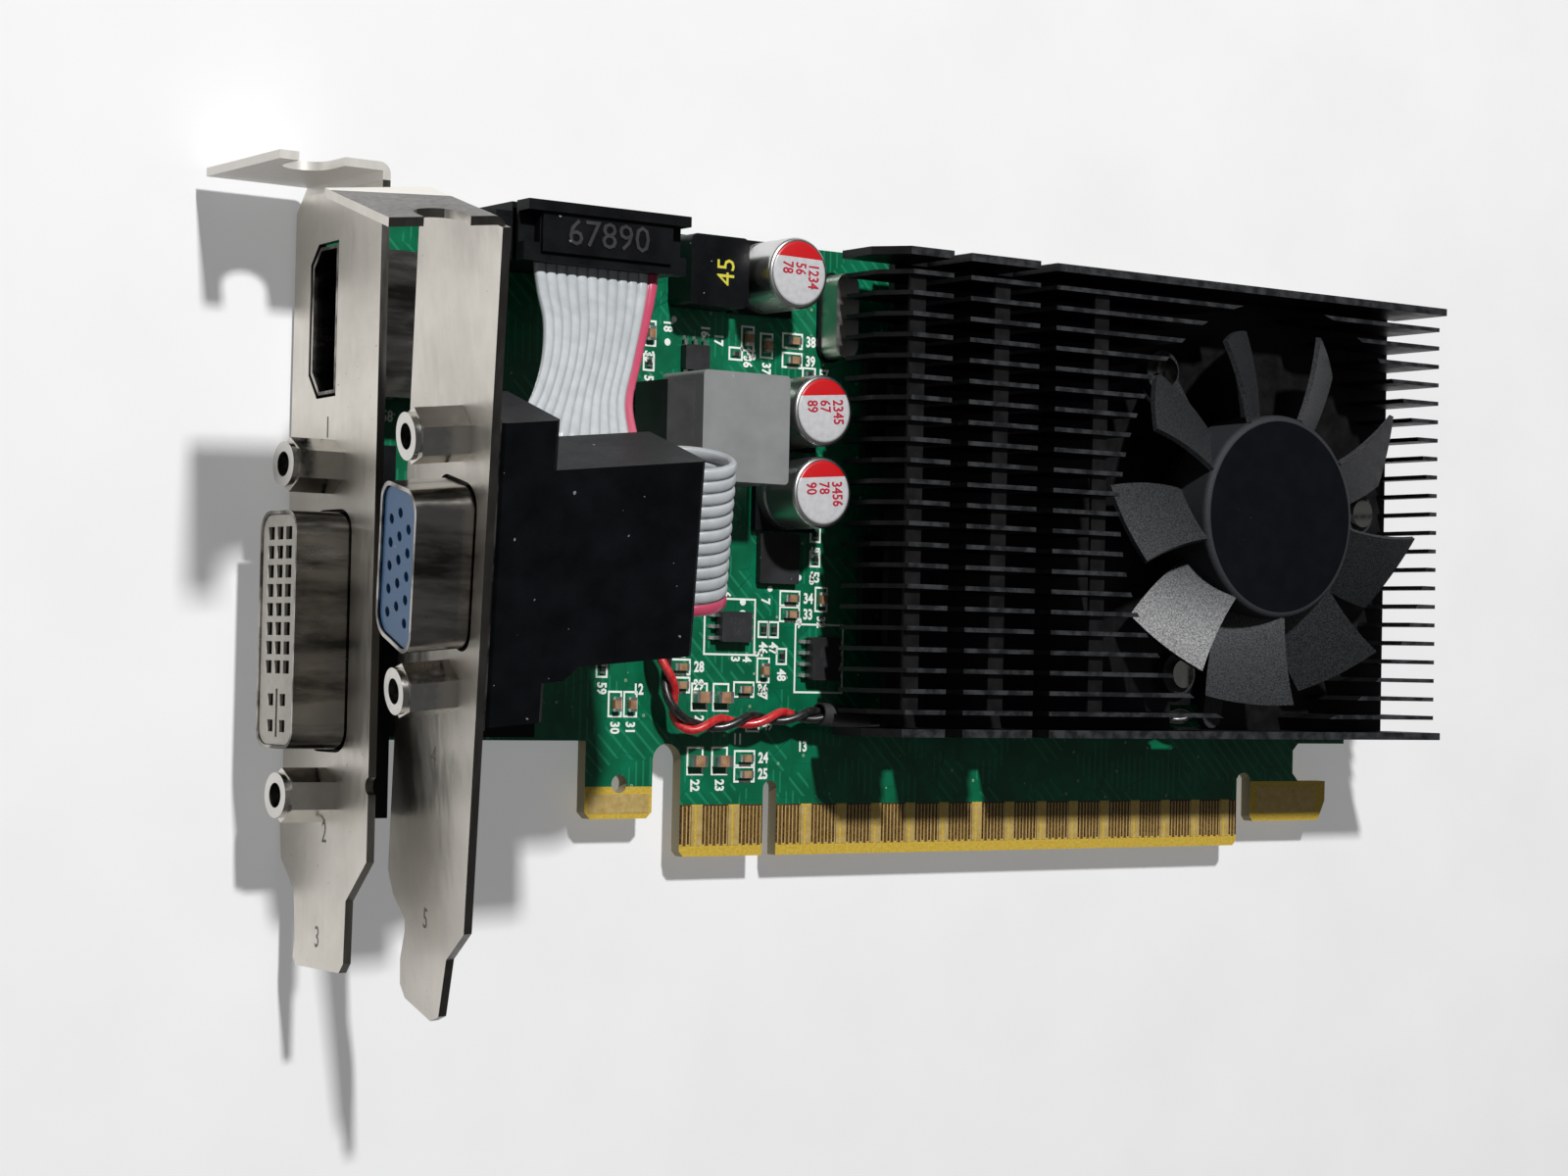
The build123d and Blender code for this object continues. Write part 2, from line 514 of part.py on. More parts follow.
def make_stator():
    """Four-pole laminated stator with its coils, around the bearing tube."""
    inner = BEARING_R + 0.62
    core = rod(FAN_X, FAN_Y, inner + 1.2, 7.6, 10.8)
    for angle in (45, 135, 225, 315):
        pole = Pos(5.6, 0, 9.2) * Box(4.4, 2.4, 3.2) + Pos(8.0, 0, 9.2) * Box(1.0, 7.0, 3.2)
        core += Pos(FAN_X, FAN_Y, 0) * Rot(0, 0, angle) * pole
    return core - rod(FAN_X, FAN_Y, inner, 7, 12)


def make_coils():
    """Copper winding on each pole."""
    coils = []
    for angle in (45, 135, 225, 315):
        coil = Pos(5.95, 0, 9.2) * (Box(2.7, 3.6, 4.4) - Box(3.7, 2.4, 3.2))
        coils.append(Pos(FAN_X, FAN_Y, 0) * Rot(0, 0, angle) * coil)
    return coils


def blade_section(r, chord, pitch, lag):
    """Thin section square to the radius: chord wide, tilted by pitch, turned back by lag."""
    frame = Plane(origin=(r, 0, BLADE_Z), x_dir=(0, 1, 0), z_dir=(1, 0, 0))
    section = frame * Rot(0, 0, pitch) * Rectangle(chord, BLADE_T)
    return Rot(0, 0, lag) * section


def make_impeller():
    """Hub cup with nine swept blades."""
    hub = rod(0, 0, HUB_R, 7.4, HUB_Z)
    hub = fillet(hub.edges().filter_by(GeomType.CIRCLE).sort_by(Axis.Z)[-1], 0.7)
    hub -= rod(0, 0, HUB_R - 1.2, 7, HUB_Z - 1.2)
    root = blade_section(HUB_R - 0.4, 7.8, 38, 0)
    middle = blade_section((HUB_R + BLADE_R) / 2, 9.5, 35, 1)
    tip = blade_section(BLADE_R + 0.2, 11.0, 33, 4)
    blade = loft([root.face(), middle.face(), tip.face()], ruled=False) & rod(0, 0, BLADE_R, 0, 20)
    for i in range(BLADE_COUNT):
        hub += Rot(0, 0, 21 + 360 / BLADE_COUNT * i) * blade
    return Pos(FAN_X, FAN_Y, 0) * hub


save("fan_frame", make_fan_frame())
save("fan_bearing", make_bearing())
save("fan_stator", make_stator())
save("fan_coils", *make_coils())
save("fan_screws", *[rod(*on_circle(ARM_R, a), 1.7, FRAME_Z, FRAME_Z + 0.8)
                     + rod(*on_circle(ARM_R, a), 0.78, FIN_FOOT_Z - PLATE_T, FRAME_Z) for a in ARM_ANGLES])
save("fan_impeller", make_impeller())
save("fan_shaft", rod(FAN_X, FAN_Y, SHAFT_R, FIN_FOOT_Z + 0.85, HUB_Z - 1.2))
rotor_r = HUB_R - 1.2
save("rotor_cup", rod(FAN_X, FAN_Y, rotor_r, 7.5, HUB_Z - 1.2)
     - rod(FAN_X, FAN_Y, rotor_r - 0.5, 7, HUB_Z - 1.7) - rod(FAN_X, FAN_Y, SHAFT_R, 7, 14))
save("magnet_ring", rod(FAN_X, FAN_Y, rotor_r - 0.5, 7.7, 11.6) - rod(FAN_X, FAN_Y, rotor_r - 1.6, 7, 12))

# ---------------------------------------------------------------- fan lead
PLUG_LOW, PLUG_HIGH = (-27.0, 24.0), (-22.4, 30.0)
LEAD_Z, LEAD_LOW_Z = 2.9, 2.5
LEAD_PATH = [(-22.4, 27.0, LEAD_Z), (-18.4, 27.0, LEAD_Z), (-16.4, 22.0, LEAD_Z), (-14.9, 14.2, LEAD_Z),
             (-9.0, 14.9, LEAD_Z), (3.7, 16.1, LEAD_Z), (12.0, 15.4, LEAD_LOW_Z), (24.0, 16.0, LEAD_LOW_Z),
             (36.0, 15.95, LEAD_LOW_Z), (46.0, 16.1, LEAD_LOW_Z), (54.0, 16.0, LEAD_LOW_Z), (60.6, 16.3, 3.7)]
SLEEVE_FROM, SLEEVE_TO = 0.10, 0.90


def tube(path, r):
    """Round tube along straight runs joined by arcs."""
    edges = []
    start = Vector(*path[0])
    for before, at, after in zip(path, path[1:], path[2:]):
        here = Vector(*at)
        run_in, run_out = here - Vector(*before), Vector(*after) - here
        half_turn = radians(run_in.get_angle(run_out)) / 2
        reach = 0.45 * min(run_in.length, run_out.length)
        first = here - run_in.normalized() * reach
        last = here + run_out.normalized() * reach
        edges.append(Line(start, first))
        edges.append(TangentArc(first, last, tangent=run_in.normalized()))
        start = last
        assert reach / tan(half_turn) > r
    edges.append(Line(start, Vector(*path[-1])))
    spine = Wire([edge.edge() for edge in edges])
    section = Plane(origin=path[0], z_dir=Vector(*path[1]) - Vector(*path[0])) * Circle(r)
    return sweep(section, path=spine)


def straight_tube(start, end, r_out, r_in):
    """Hollow tube between two points."""
    a, b = Vector(*start), Vector(*end)
    ring = Plane(origin=a, z_dir=b - a) * (Circle(r_out) - Circle(r_in))
    return extrude(ring, (b - a).length, dir=b - a)


def between(p, q, share):
    """Point at a share of the way from p to q."""
    return tuple(a + (b - a) * share for a, b in zip(p, q))


plug_x0, plug_y0 = PLUG_LOW
plug_x1, plug_y1 = PLUG_HIGH
fan_socket = block(plug_x0 - 1.6, plug_x0, plug_y0 - 0.8, plug_y1 + 0.8, 0, 5.2)
fan_socket += block(plug_x0, plug_x1 - 0.6, plug_y0 - 0.8, plug_y1 + 0.8, 0, 0.7)
save("fan_socket", fan_socket)
save("fan_plug", block(plug_x0, plug_x1, plug_y0, plug_y1, 0.75, 4.9))
save("fan_lead", tube(LEAD_PATH, LEAD_R))
sleeve_start = between(LEAD_PATH[5], LEAD_PATH[6], SLEEVE_FROM)
sleeve_end = between(LEAD_PATH[5], LEAD_PATH[6], SLEEVE_TO)
save("lead_sleeve", straight_tube(sleeve_start, sleeve_end, LEAD_R + 0.3, LEAD_R + 0.1))

# ---------------------------------------------------------------- loose VGA bracket
KIT_TIP = [(-35.8, 0.0), (-37.8, 1.5), (-39.4, 4.6), (-40.6, 4.75), (-43.9, 4.0), (-46.5, 4.25), (-47.5, 5.6),
           (-47.4, 11.9), (-46.2, 13.7), (-39.7, 14.8), (-35.6, KIT_PLATE_W)]
VGA_W_LOW, VGA_W_HIGH, VGA_H = 15.0, 16.3, 8.3


def make_kit_bracket():
    outline = KIT_TIP + [(KIT_FLANGE_Y, KIT_PLATE_W), (KIT_FLANGE_Y, 0.0)]
    plate = slab_x(outline, 0, SHEET_T)
    plate += block(-10.7, SHEET_T, KIT_FLANGE_Y, KIT_FLANGE_Y + SHEET_T, 2.3, 17.3)
    bend = plate.edges().filter_by(Axis.Z).sort_by_distance((SHEET_T, KIT_FLANGE_Y + SHEET_T, 9))[0]
    plate = fillet(bend, 1.2)
    plate -= block(-7.3, -2.7, KIT_FLANGE_Y - 1, KIT_FLANGE_Y + 2, 15.4, 20)
    plate -= Pos(-5.0, KIT_FLANGE_Y, 15.4) * Rot(90, 0, 0) * Cylinder(2.3, 4)
    plate -= d_prism(0, VGA_Z, VGA_W_LOW + 0.6, VGA_W_HIGH + 0.6, VGA_H + 0.6, 2.4, -1, 2)
    for side in (-1, 1):
        plate -= bar(side * VGA_JACK_HALF, VGA_Z, 1.6, -1, 2)
    return plate


def vga_holes():
    """Fifteen socket centres in three rows, the middle row shifted by half a pitch."""
    for row, (z, shift) in enumerate(((-1.98, -0.55), (0.0, 0.55), (1.98, -0.55))):
        for column in range(5):
            yield 2.29 * (column - 2) + shift, VGA_Z + z


def make_vga_shell():
    """Pressed D-shaped collar with its flange behind the plate."""
    collar = d_prism(0, VGA_Z, VGA_W_LOW, VGA_W_HIGH, VGA_H, 2.2, -VGA_OUT, SHEET_T)
    flange = block(SHEET_T, SHEET_T + 0.5, -15.2, 15.2, VGA_Z - 5.9, VGA_Z + 5.9)
    shell = collar + flange
    shell -= d_prism(0, VGA_Z, VGA_W_LOW - 0.8, VGA_W_HIGH - 0.8, VGA_H - 0.8, 1.9, -VGA_OUT - 1, 3)
    for side in (-1, 1):
        shell -= bar(side * VGA_JACK_HALF, VGA_Z, 1.55, -1, 3)
    return shell


def make_vga_insulator():
    """Blue moulding with fifteen round sockets."""
    body = d_prism(0, VGA_Z, VGA_W_LOW - 1.0, VGA_W_HIGH - 1.0, VGA_H - 1.0, 1.8, -VGA_OUT + 0.25, 5.0)
    for y, z in vga_holes():
        body -= bar(y, z, 0.5, -VGA_OUT - 1, 0.0)
        body -= bar(y, z, 0.3, -0.5, 6.0)
    return body


def make_hood():
    """Black hood behind the VGA socket: a wide front block and a narrower long one."""
    front = block(SHEET_T + 0.5, 7.6, -15.0, 14.8, 5.5, 17.6)
    rear = slab_z([(7.6, -11.0), (9.4, -11.0), (11.0, -9.7), (23.5, -9.7), (23.5, 10.0), (7.6, 10.0)], 5.5, 17.6)
    hood = front + rear
    hood = chamfer(hood.edges().filter_by(Axis.Y).group_by(Axis.Z)[-1], 0.5)
    hood -= block(0, 20.5, -8.6, 8.6, VGA_Z - 4.4, VGA_Z + 4.4)
    for side in (-1, 1):
        hood -= bar(side * VGA_JACK_HALF, VGA_Z, 1.55, 0, 5.6)
    return hood


save_kit("kit_bracket", make_kit_bracket())
save_kit("vga_shell", make_vga_shell())
save_kit("vga_insulator", make_vga_insulator())
save_kit("vga_contacts", *[bar(y, z, 0.28, -3.0, 9.0) for y, z in vga_holes()])
save_kit("vga_jackscrews", *[hex_jack(side * VGA_JACK_HALF, VGA_Z, 0, 5.0) for side in (-1, 1)])
save_kit("hood", make_hood())

# ---------------------------------------------------------------- ribbon and its plug
PLUG_Z0, PLUG_TOP = 2.6, 14.0
RIBBON_GAP = (10.6, 11.55)
PLUG_X0, PLUG_X1 = -41.7, -21.7
RIBBON_Z = (RIBBON_GAP[0] + RIBBON_GAP[1]) / 2


def make_idc_plug():
    """Socket body that fits over the header's pins."""
    body = block(PLUG_X0, PLUG_X1, 62.6, 68.6, PLUG_Z0, RIBBON_GAP[0])
    body += block(PLUG_X0 - 1.9, PLUG_X0, 63.4, 67.6, 7.0, RIBBON_GAP[0])
    for x, y in header_xy():
        body -= block(x - 0.45, x + 0.45, y - 0.45, y + 0.45, PLUG_Z0 - 1, RIBBON_GAP[0] - 0.3)
    return body


def make_idc_clamp():
    """Cover over the ribbon: back ridge, sunk face, front lip and a pocket at each end."""
    clamp = block(PLUG_X0, PLUG_X1, 62.4, 68.6, RIBBON_GAP[1], PLUG_TOP - 0.9)
    clamp += block(PLUG_X0, PLUG_X1, 67.5, 68.6, PLUG_TOP - 0.9, PLUG_TOP)
    clamp += block(PLUG_X0 + 2.0, PLUG_X1 - 2.0, 63.4, 67.5, PLUG_TOP - 0.9, PLUG_TOP - 0.45)
    for x in (PLUG_X0 - 1, PLUG_X1 - 1.9):
        clamp -= block(x, x + 2.9, 64.3, 67.5, RIBBON_GAP[1] + 0.4, PLUG_TOP)
    return clamp


# Ribbon route from the plug to the hood: left and right edges of the cable at each station.
RIBBON_STATIONS = [((-39.2, 67.4, RIBBON_Z), (-23.96, 67.4, RIBBON_Z)),
                   ((-39.2, 62.2, RIBBON_Z), (-23.96, 62.2, RIBBON_Z)),
                   ((-39.9, 59.2, 13.0), (-24.9, 59.2, 11.9)), ((-41.1, 55.9, 16.3), (-26.6, 56.0, 13.4)),
                   ((-43.2, 51.9, 19.7), (-29.1, 51.9, 15.8)), ((-46.2, 47.9, 23.0), (-32.2, 47.6, 19.4))]
FOLD_Z = 2.6


def kit_point(x, y, z):
    """A point of the kit's frame in the card's frame."""
    return tuple((KIT_POSE * Pos(x, y, z)).position)


def ribbon_strip(left_a, right_a, left_b, right_b):
    """Flat stretch of ribbon between two stations."""
    corners = [Vector(*p) for p in (left_a, right_a, right_b, left_b)]
    sections = []
    for left, right, along in ((corners[0], corners[1], corners[3] - corners[0]),
                               (corners[3], corners[2], corners[3] - corners[0])):
        across = right - left
        up = across.cross(along).normalized() * (RIBBON_T / 2)
        wire = Wire.make_polygon([left - up, right - up, right + up, left + up], close=True)
        sections.append(Face(wire))
    return Solid.make_loft([face.outer_wire() for face in sections], ruled=True)


def make_ribbon():
    """Stretch to the hood, the fold below it and the bend back into its right end."""
    stations = RIBBON_STATIONS + [(kit_point(9.6, 10.6, 3.6), kit_point(24.0, 7.4, FOLD_Z))]
    ribbon = [ribbon_strip(*a, *b) for a, b in zip(stations, stations[1:])]
    inner, outer, turn_x, turn_z = 4.15, 5.05, 27.0, 7.2
    low, high = turn_z - outer, turn_z + outer
    fold = block(9.6, turn_x, -7.6, 7.64, low, low + RIBBON_T)
    fold += block(23.5, turn_x, -7.6, 7.64, high - RIBBON_T, high)
    ring = Pos(turn_x, 0.02, turn_z) * Rot(90, 0, 0) * (Cylinder(outer, RIBBON_W) - Cylinder(inner, RIBBON_W))
    fold += ring & block(turn_x, turn_x + 9, -9, 9, 0, 20)
    return ribbon, KIT_POSE * fold


idc_clamp = make_idc_clamp()
ribbon_strips, ribbon_fold = make_ribbon()
save("idc_plug", make_idc_plug())
save("idc_clamp", idc_clamp)
ribbon = ribbon_fold
for strip in ribbon_strips:
    ribbon += strip
save("ribbon_cable", ribbon)
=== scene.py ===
import math

import bmesh
import bpy
import numpy as np
from mathutils import Matrix, Vector


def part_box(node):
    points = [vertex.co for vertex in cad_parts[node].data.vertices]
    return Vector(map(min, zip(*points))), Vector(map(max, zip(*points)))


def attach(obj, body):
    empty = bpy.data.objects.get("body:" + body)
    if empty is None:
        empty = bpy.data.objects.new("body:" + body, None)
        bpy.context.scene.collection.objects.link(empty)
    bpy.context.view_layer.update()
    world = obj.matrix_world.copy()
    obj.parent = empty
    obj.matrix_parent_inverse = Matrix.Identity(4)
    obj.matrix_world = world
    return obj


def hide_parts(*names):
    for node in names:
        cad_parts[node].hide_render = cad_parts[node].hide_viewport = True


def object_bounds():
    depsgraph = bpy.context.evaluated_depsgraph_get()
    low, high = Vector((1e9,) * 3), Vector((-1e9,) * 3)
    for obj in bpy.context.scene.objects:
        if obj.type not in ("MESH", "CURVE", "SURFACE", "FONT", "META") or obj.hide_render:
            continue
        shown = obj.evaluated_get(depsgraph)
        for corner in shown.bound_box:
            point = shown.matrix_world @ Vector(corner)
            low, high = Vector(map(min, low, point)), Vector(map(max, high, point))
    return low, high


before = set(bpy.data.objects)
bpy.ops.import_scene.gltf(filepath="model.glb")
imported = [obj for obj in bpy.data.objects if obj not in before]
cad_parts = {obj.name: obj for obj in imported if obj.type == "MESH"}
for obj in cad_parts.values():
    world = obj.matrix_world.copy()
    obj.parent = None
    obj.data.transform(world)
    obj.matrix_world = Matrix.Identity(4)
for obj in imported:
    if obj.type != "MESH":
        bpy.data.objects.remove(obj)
cad_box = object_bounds()
MM = 0.001

# ---------------------------------------------------------------- camera, floor and lights
LENS = 73.55
CAMERA_AT = Vector((-209.995, 21.676, 294.536)) * MM
CAMERA_RIGHT = Vector((0.8120, 0.0216, 0.5833)).normalized()
CAMERA_FORWARD = Vector((0.5829, 0.0234, -0.8122)).normalized()
KEY_FROM = Vector((-0.16, 0.72, 1.0)).normalized()


def pose_matrix(right, up, back, at):
    """Rigid placement from three axes and a point."""
    m = Matrix((right, up, back)).transposed().to_4x4()
    m.translation = at
    return m


def make_camera():
    data = bpy.data.cameras.new("camera")
    data.sensor_width, data.lens = 36, LENS
    data.clip_start, data.clip_end = 0.01, 10
    camera = bpy.data.objects.new("camera", data)
    bpy.context.scene.collection.objects.link(camera)
    up = CAMERA_RIGHT.cross(CAMERA_FORWARD)
    camera.matrix_world = pose_matrix(CAMERA_RIGHT, up, -CAMERA_FORWARD, CAMERA_AT)
    bpy.context.scene.camera = camera


def area_light(name, toward, distance, size, power, colour=(1, 1, 1)):
    """Square soft light looking at the middle of the card."""
    data = bpy.data.lights.new(name, "AREA")
    data.shape, data.size, data.energy, data.color = "SQUARE", size, power, colour
    light = bpy.data.objects.new(name, data)
    bpy.context.scene.collection.objects.link(light)
    centre = (cad_box[0] + cad_box[1]) / 2
    light.location = centre + toward.normalized() * distance
    light.rotation_mode = "QUATERNION"
    light.rotation_quaternion = toward.to_track_quat("Z", "Y")


def make_world(strength, colour):
    world = bpy.data.worlds.new("studio")
    world.use_nodes = True
    background = world.node_tree.nodes["Background"]
    background.inputs["Color"].default_value = (*colour, 1)
    background.inputs["Strength"].default_value = strength
    bpy.context.scene.world = world


# ---------------------------------------------------------------- shader building


class Signal:
    """A shader socket that takes part in arithmetic: every operator adds a Math node."""

    def __init__(self, finish, socket):
        self.finish, self.socket = finish, socket

    def _math(self, operation, *values):
        return self.finish.node("ShaderNodeMath", {"operation": operation}, dict(enumerate(values)))

    def __add__(self, other):
        return self._math("ADD", self, other)

    def __radd__(self, other):
        return self._math("ADD", other, self)

    def __sub__(self, other):
        return self._math("SUBTRACT", self, other)

    def __rsub__(self, other):
        return self._math("SUBTRACT", other, self)

    def __mul__(self, other):
        return self._math("MULTIPLY", self, other)

    def __rmul__(self, other):
        return self._math("MULTIPLY", other, self)

    def __truediv__(self, other):
        return self._math("DIVIDE", self, other)

    def __lt__(self, other):
        return self._math("LESS_THAN", self, other)

    def __gt__(self, other):
        return self._math("GREATER_THAN", self, other)

    def __abs__(self):
        return self._math("ABSOLUTE", self)

    def __mod__(self, other):
        return self._math("FLOORED_MODULO", self, other)

    def power(self, exponent):
        return self._math("POWER", self, exponent)


class Finish:
    """One material: node() adds any node and set() feeds the surface shader."""

    def __init__(self, name, **constants):
        self.material = bpy.data.materials.new(name)
        self.material.use_nodes = True
        self.tree = self.material.node_tree
        self.shader = self.tree.nodes["Principled BSDF"]
        self.set(**constants)

    def feed(self, socket, value):
        if isinstance(value, Signal):
            self.tree.links.new(value.socket, socket)
        elif isinstance(value, (tuple, list)) and socket.type == "RGBA":
            socket.default_value = (*value[:3], 1)
        else:
            socket.default_value = value

    def node(self, kind, settings=None, inputs=None, out=0):
        made = self.tree.nodes.new(kind)
        for key, value in (settings or {}).items():
            if key == "stops":
                ramp = made.color_ramp
                while len(ramp.elements) < len(value):
                    ramp.elements.new(0.5)
                for element, (place, colour) in zip(ramp.elements, value):
                    element.position, element.color = place, (*colour, 1)
            else:
                setattr(made, key, value)
        for key, value in (inputs or {}).items():
            self.feed(made.inputs[key], value)
        return Signal(self, made.outputs[out])

    def set(self, **values):
        """Surface sockets by name, with _ for a space."""
        for key, value in values.items():
            self.feed(self.shader.inputs[key.replace("_", " ")], value)
        return self

    def place(self):
        """Object coordinates in millimetres."""
        where = self.node("ShaderNodeTexCoord", out="Object")
        return self.node("ShaderNodeVectorMath", {"operation": "SCALE"}, {0: where, "Scale": 1000.0})

    def parts(self, vector):
        split = self.node("ShaderNodeSeparateXYZ", inputs={0: vector}).socket.node
        return [Signal(self, split.outputs[i]) for i in range(3)]

    def noise(self, scale, detail=3.0, vector=None, rough=0.55):
        inputs = {"Vector": vector or self.place(), "Scale": scale, "Detail": detail, "Roughness": rough}
        return self.node("ShaderNodeTexNoise", inputs=inputs, out="Fac")

    def mix(self, factor, a, b):
        return self.node("ShaderNodeMix", {"data_type": "RGBA"}, {0: factor, 6: a, 7: b}, out=2)

    def ramp(self, factor, *stops):
        return self.node("ShaderNodeValToRGB", {"stops": stops}, {0: factor})

    def span(self, value, low, high, out_low, out_high):
        inputs = {0: value, 1: low, 2: high, 3: out_low, 4: out_high}
        return self.node("ShaderNodeMapRange", {"clamp": True}, inputs)

    def bump(self, height, strength, depth_mm):
        inputs = {"Height": height, "Strength": strength, "Distance": depth_mm * MM}
        self.set(Normal=self.node("ShaderNodeBump", inputs=inputs))
        return self


def moulded(name, colour, light, rough=0.5, grain=6.0, depth=0.02, shine=0.5):
    """Moulded plastic: fine grain, faint lighter patches, specks of dust and slightly uneven gloss."""
    f = Finish(name, Specular_IOR_Level=shine)
    fine, broad, dust = f.noise(grain, 4.0), f.noise(0.25, 3.0), f.noise(1.3, 1.0)
    tone = f.mix(f.span(broad, 0.35, 0.7, 0.0, 1.0), colour, light)
    f.set(Base_Color=f.mix((dust > 0.79) * 0.6, tone, (0.35, 0.36, 0.37)))
    f.set(Roughness=f.span(fine + broad, 0.7, 1.3, rough - 0.08, rough + 0.1))
    return f.bump(fine, 0.25, depth)


def plated(name, colour, dark, rough=0.22, grain=1.2, streak=(1, 1, 1), painted_reflection=0.0):
    """Plated metal: cloudy tone, streaks along one axis, tiny dark specks and optional dark bands of painted
    reflection.
    """
    f = Finish(name, Metallic=1.0)
    stretched = f.node("ShaderNodeVectorMath", {"operation": "MULTIPLY"}, {0: f.place(), 1: streak})
    cloud, fine = f.noise(0.12, 4.0), f.noise(grain, 5.0, stretched)
    specks = f.noise(2.6, 2.0) > 0.74
    tone = f.mix(f.span(cloud, 0.35, 0.68, 0.0, 1.0), colour, [c * 0.86 for c in colour])
    # painted reflection: dark bands streaked along one axis stand in for dark surroundings mirrored in the
    # plating
    if painted_reflection:
        tone = f.mix(f.span(f.noise(0.3, 5.0, stretched), 0.42, 0.6, 0.0, painted_reflection), tone, dark)
    f.set(Base_Color=f.mix(specks * 0.7, tone, dark))
    f.set(Roughness=f.span(fine * 0.7 + cloud * 0.5, 0.4, 0.8, rough - 0.06, rough + 0.14))
    return f.bump(fine, 0.12, 0.02)


def sheet_plate(name, axis, flange_y):
    """Polished nickel on the faces of a bracket, its sheared edges darkened to near-black with painted shade,
    and its flange painted lighter as a highlight and made less metallic.
    """
    f = plated(name, (0.70, 0.665, 0.60), (0.25, 0.20, 0.15), 0.34, 1.4, (1, 0.15, 1))
    tone = Signal(f, f.shader.inputs["Base Color"].links[0].from_socket)
    normal = f.node("ShaderNodeNewGeometry", out="Normal")
    facing = abs(f.node("ShaderNodeVectorMath", {"operation": "DOT_PRODUCT"},
                        {0: normal, 1: axis}, out="Value"))
    y = f.parts(f.place())[1]
    # painted highlight: the flange above flange_y is painted lighter, as where light falls on it
    tone = f.mix((y > flange_y) * 0.7, tone, (0.82, 0.79, 0.74))
    # painted shade: the plate's edges below the flange are painted near-black
    f.set(Base_Color=f.mix((facing < 0.6) * (y < flange_y) * 0.85, tone, (0.06, 0.055, 0.05)))
    return f.set(Metallic=1 - (y > flange_y) * 0.55)


# Millimetres on the board: x runs along the card, y up from the contacts' edge, z out of its face.
LEFT_TAB_END, LEFT_TAB_TOP = -15.9, 7.8
RIGHT_TAB_START, RIGHT_TAB_TOP = 74.5, 8.0
SLOT_TOP, LIP_TOP = 5.75, 1.35
CONTACTS_START, CONTACTS_END, CONTACTS_TOP = -12.4, 72.4, 6.0
CONTACT_PITCH, HALF_BRIGHT = 1.0, 0.31
MERGED_EVERY, MERGED_LENGTH, MERGED_SHIFT = 5.0, 1.5, 0.6
CUT_EDGE_TOP, CUT_EDGE_BOTTOM = -0.03, -1.54
FIN_EDGE_Z = 13.9
HUB_DISC_Z, HUB_RIM, HUB_RIM_OUT = 13.0, 0.75, 0.1


def merged_contacts(x):
    """1 over the stretches where neighbouring contacts run together."""
    return ((x + MERGED_SHIFT) % MERGED_EVERY) < MERGED_LENGTH


def board_finish():
    """Green solder mask over copper, bare gold zones at the tabs, slots between fingers and tan cut edges."""
    f = Finish("solder_mask", Coat_Roughness=0.12, Specular_IOR_Level=0.4)
    where = f.place()
    x, y, z = f.parts(where)
    pour = f.noise(0.22, 2.0)
    edge = f.node("ShaderNodeTexVoronoi", {"feature": "DISTANCE_TO_EDGE", "distance": "MANHATTAN"},
                  {"Vector": where, "Scale": 0.26, "Randomness": 0.7})
    via = f.node("ShaderNodeTexVoronoi", {}, {"Vector": where, "Scale": 0.55, "Randomness": 0.8})
    slope = f.node("ShaderNodeTexWave", {"bands_direction": "DIAGONAL"},
                   {"Vector": where, "Scale": 0.36, "Distortion": 0.0})
    upright = f.node("ShaderNodeTexWave", {"bands_direction": "X"},
                     {"Vector": where, "Scale": 0.34, "Distortion": 0.0})
    region, other = f.noise(0.13, 1.0), f.noise(0.17, 1.0)
    tone = f.ramp(pour, (0.35, (0.000, 0.090, 0.038)), (0.5, (0.000, 0.115, 0.050)),
                  (0.65, (0.000, 0.145, 0.066)))
    track = (slope > 0.86) * (region > 0.55) + (upright > 0.86) * (other > 0.54) * (region < 0.55)
    tone = f.mix(track * 0.6, tone, (0.015, 0.23, 0.115))
    tone = f.mix((edge < 0.012) * (pour > 0.45) * 0.6, tone, (0.0, 0.07, 0.035))
    tone = f.mix((via < 0.10) * (1 - (via < 0.045)) * 0.8, tone, (0.32, 0.42, 0.28))
    left_tab = (x < LEFT_TAB_END) * (y < LEFT_TAB_TOP)
    right_tab = (x > RIGHT_TAB_START) * (y < RIGHT_TAB_TOP)
    between, lip = (y < SLOT_TOP) * (1 - left_tab) * (1 - right_tab), y < LIP_TOP
    merged = merged_contacts(x)
    speck = f.noise(3.2, 3.0)
    dark = f.ramp(speck, (0.42, (0.030, 0.012, 0.004)), (0.62, (0.11, 0.05, 0.012)))
    gold = f.ramp(speck, (0.3, (0.62, 0.40, 0.03)), (0.7, (0.80, 0.58, 0.11)))
    tone = f.mix(between, tone, dark)
    bare = left_tab + right_tab + between * (lip + merged - lip * merged)
    tone = f.mix(bare, tone, gold)
    side = (z < CUT_EDGE_TOP) * (z > CUT_EDGE_BOTTOM)
    tone = f.mix(side, tone, (0.30, 0.26, 0.16))
    f.set(Base_Color=tone, Metallic=bare * 0.3 * (1 - side), Roughness=0.34 + side * 0.4)
    f.set(Coat_Weight=0.25 * (1 - side))
    return f.bump(track * 0.6 + pour * 0.2 + (via < 0.10) * 0.4, 0.25, 0.03)


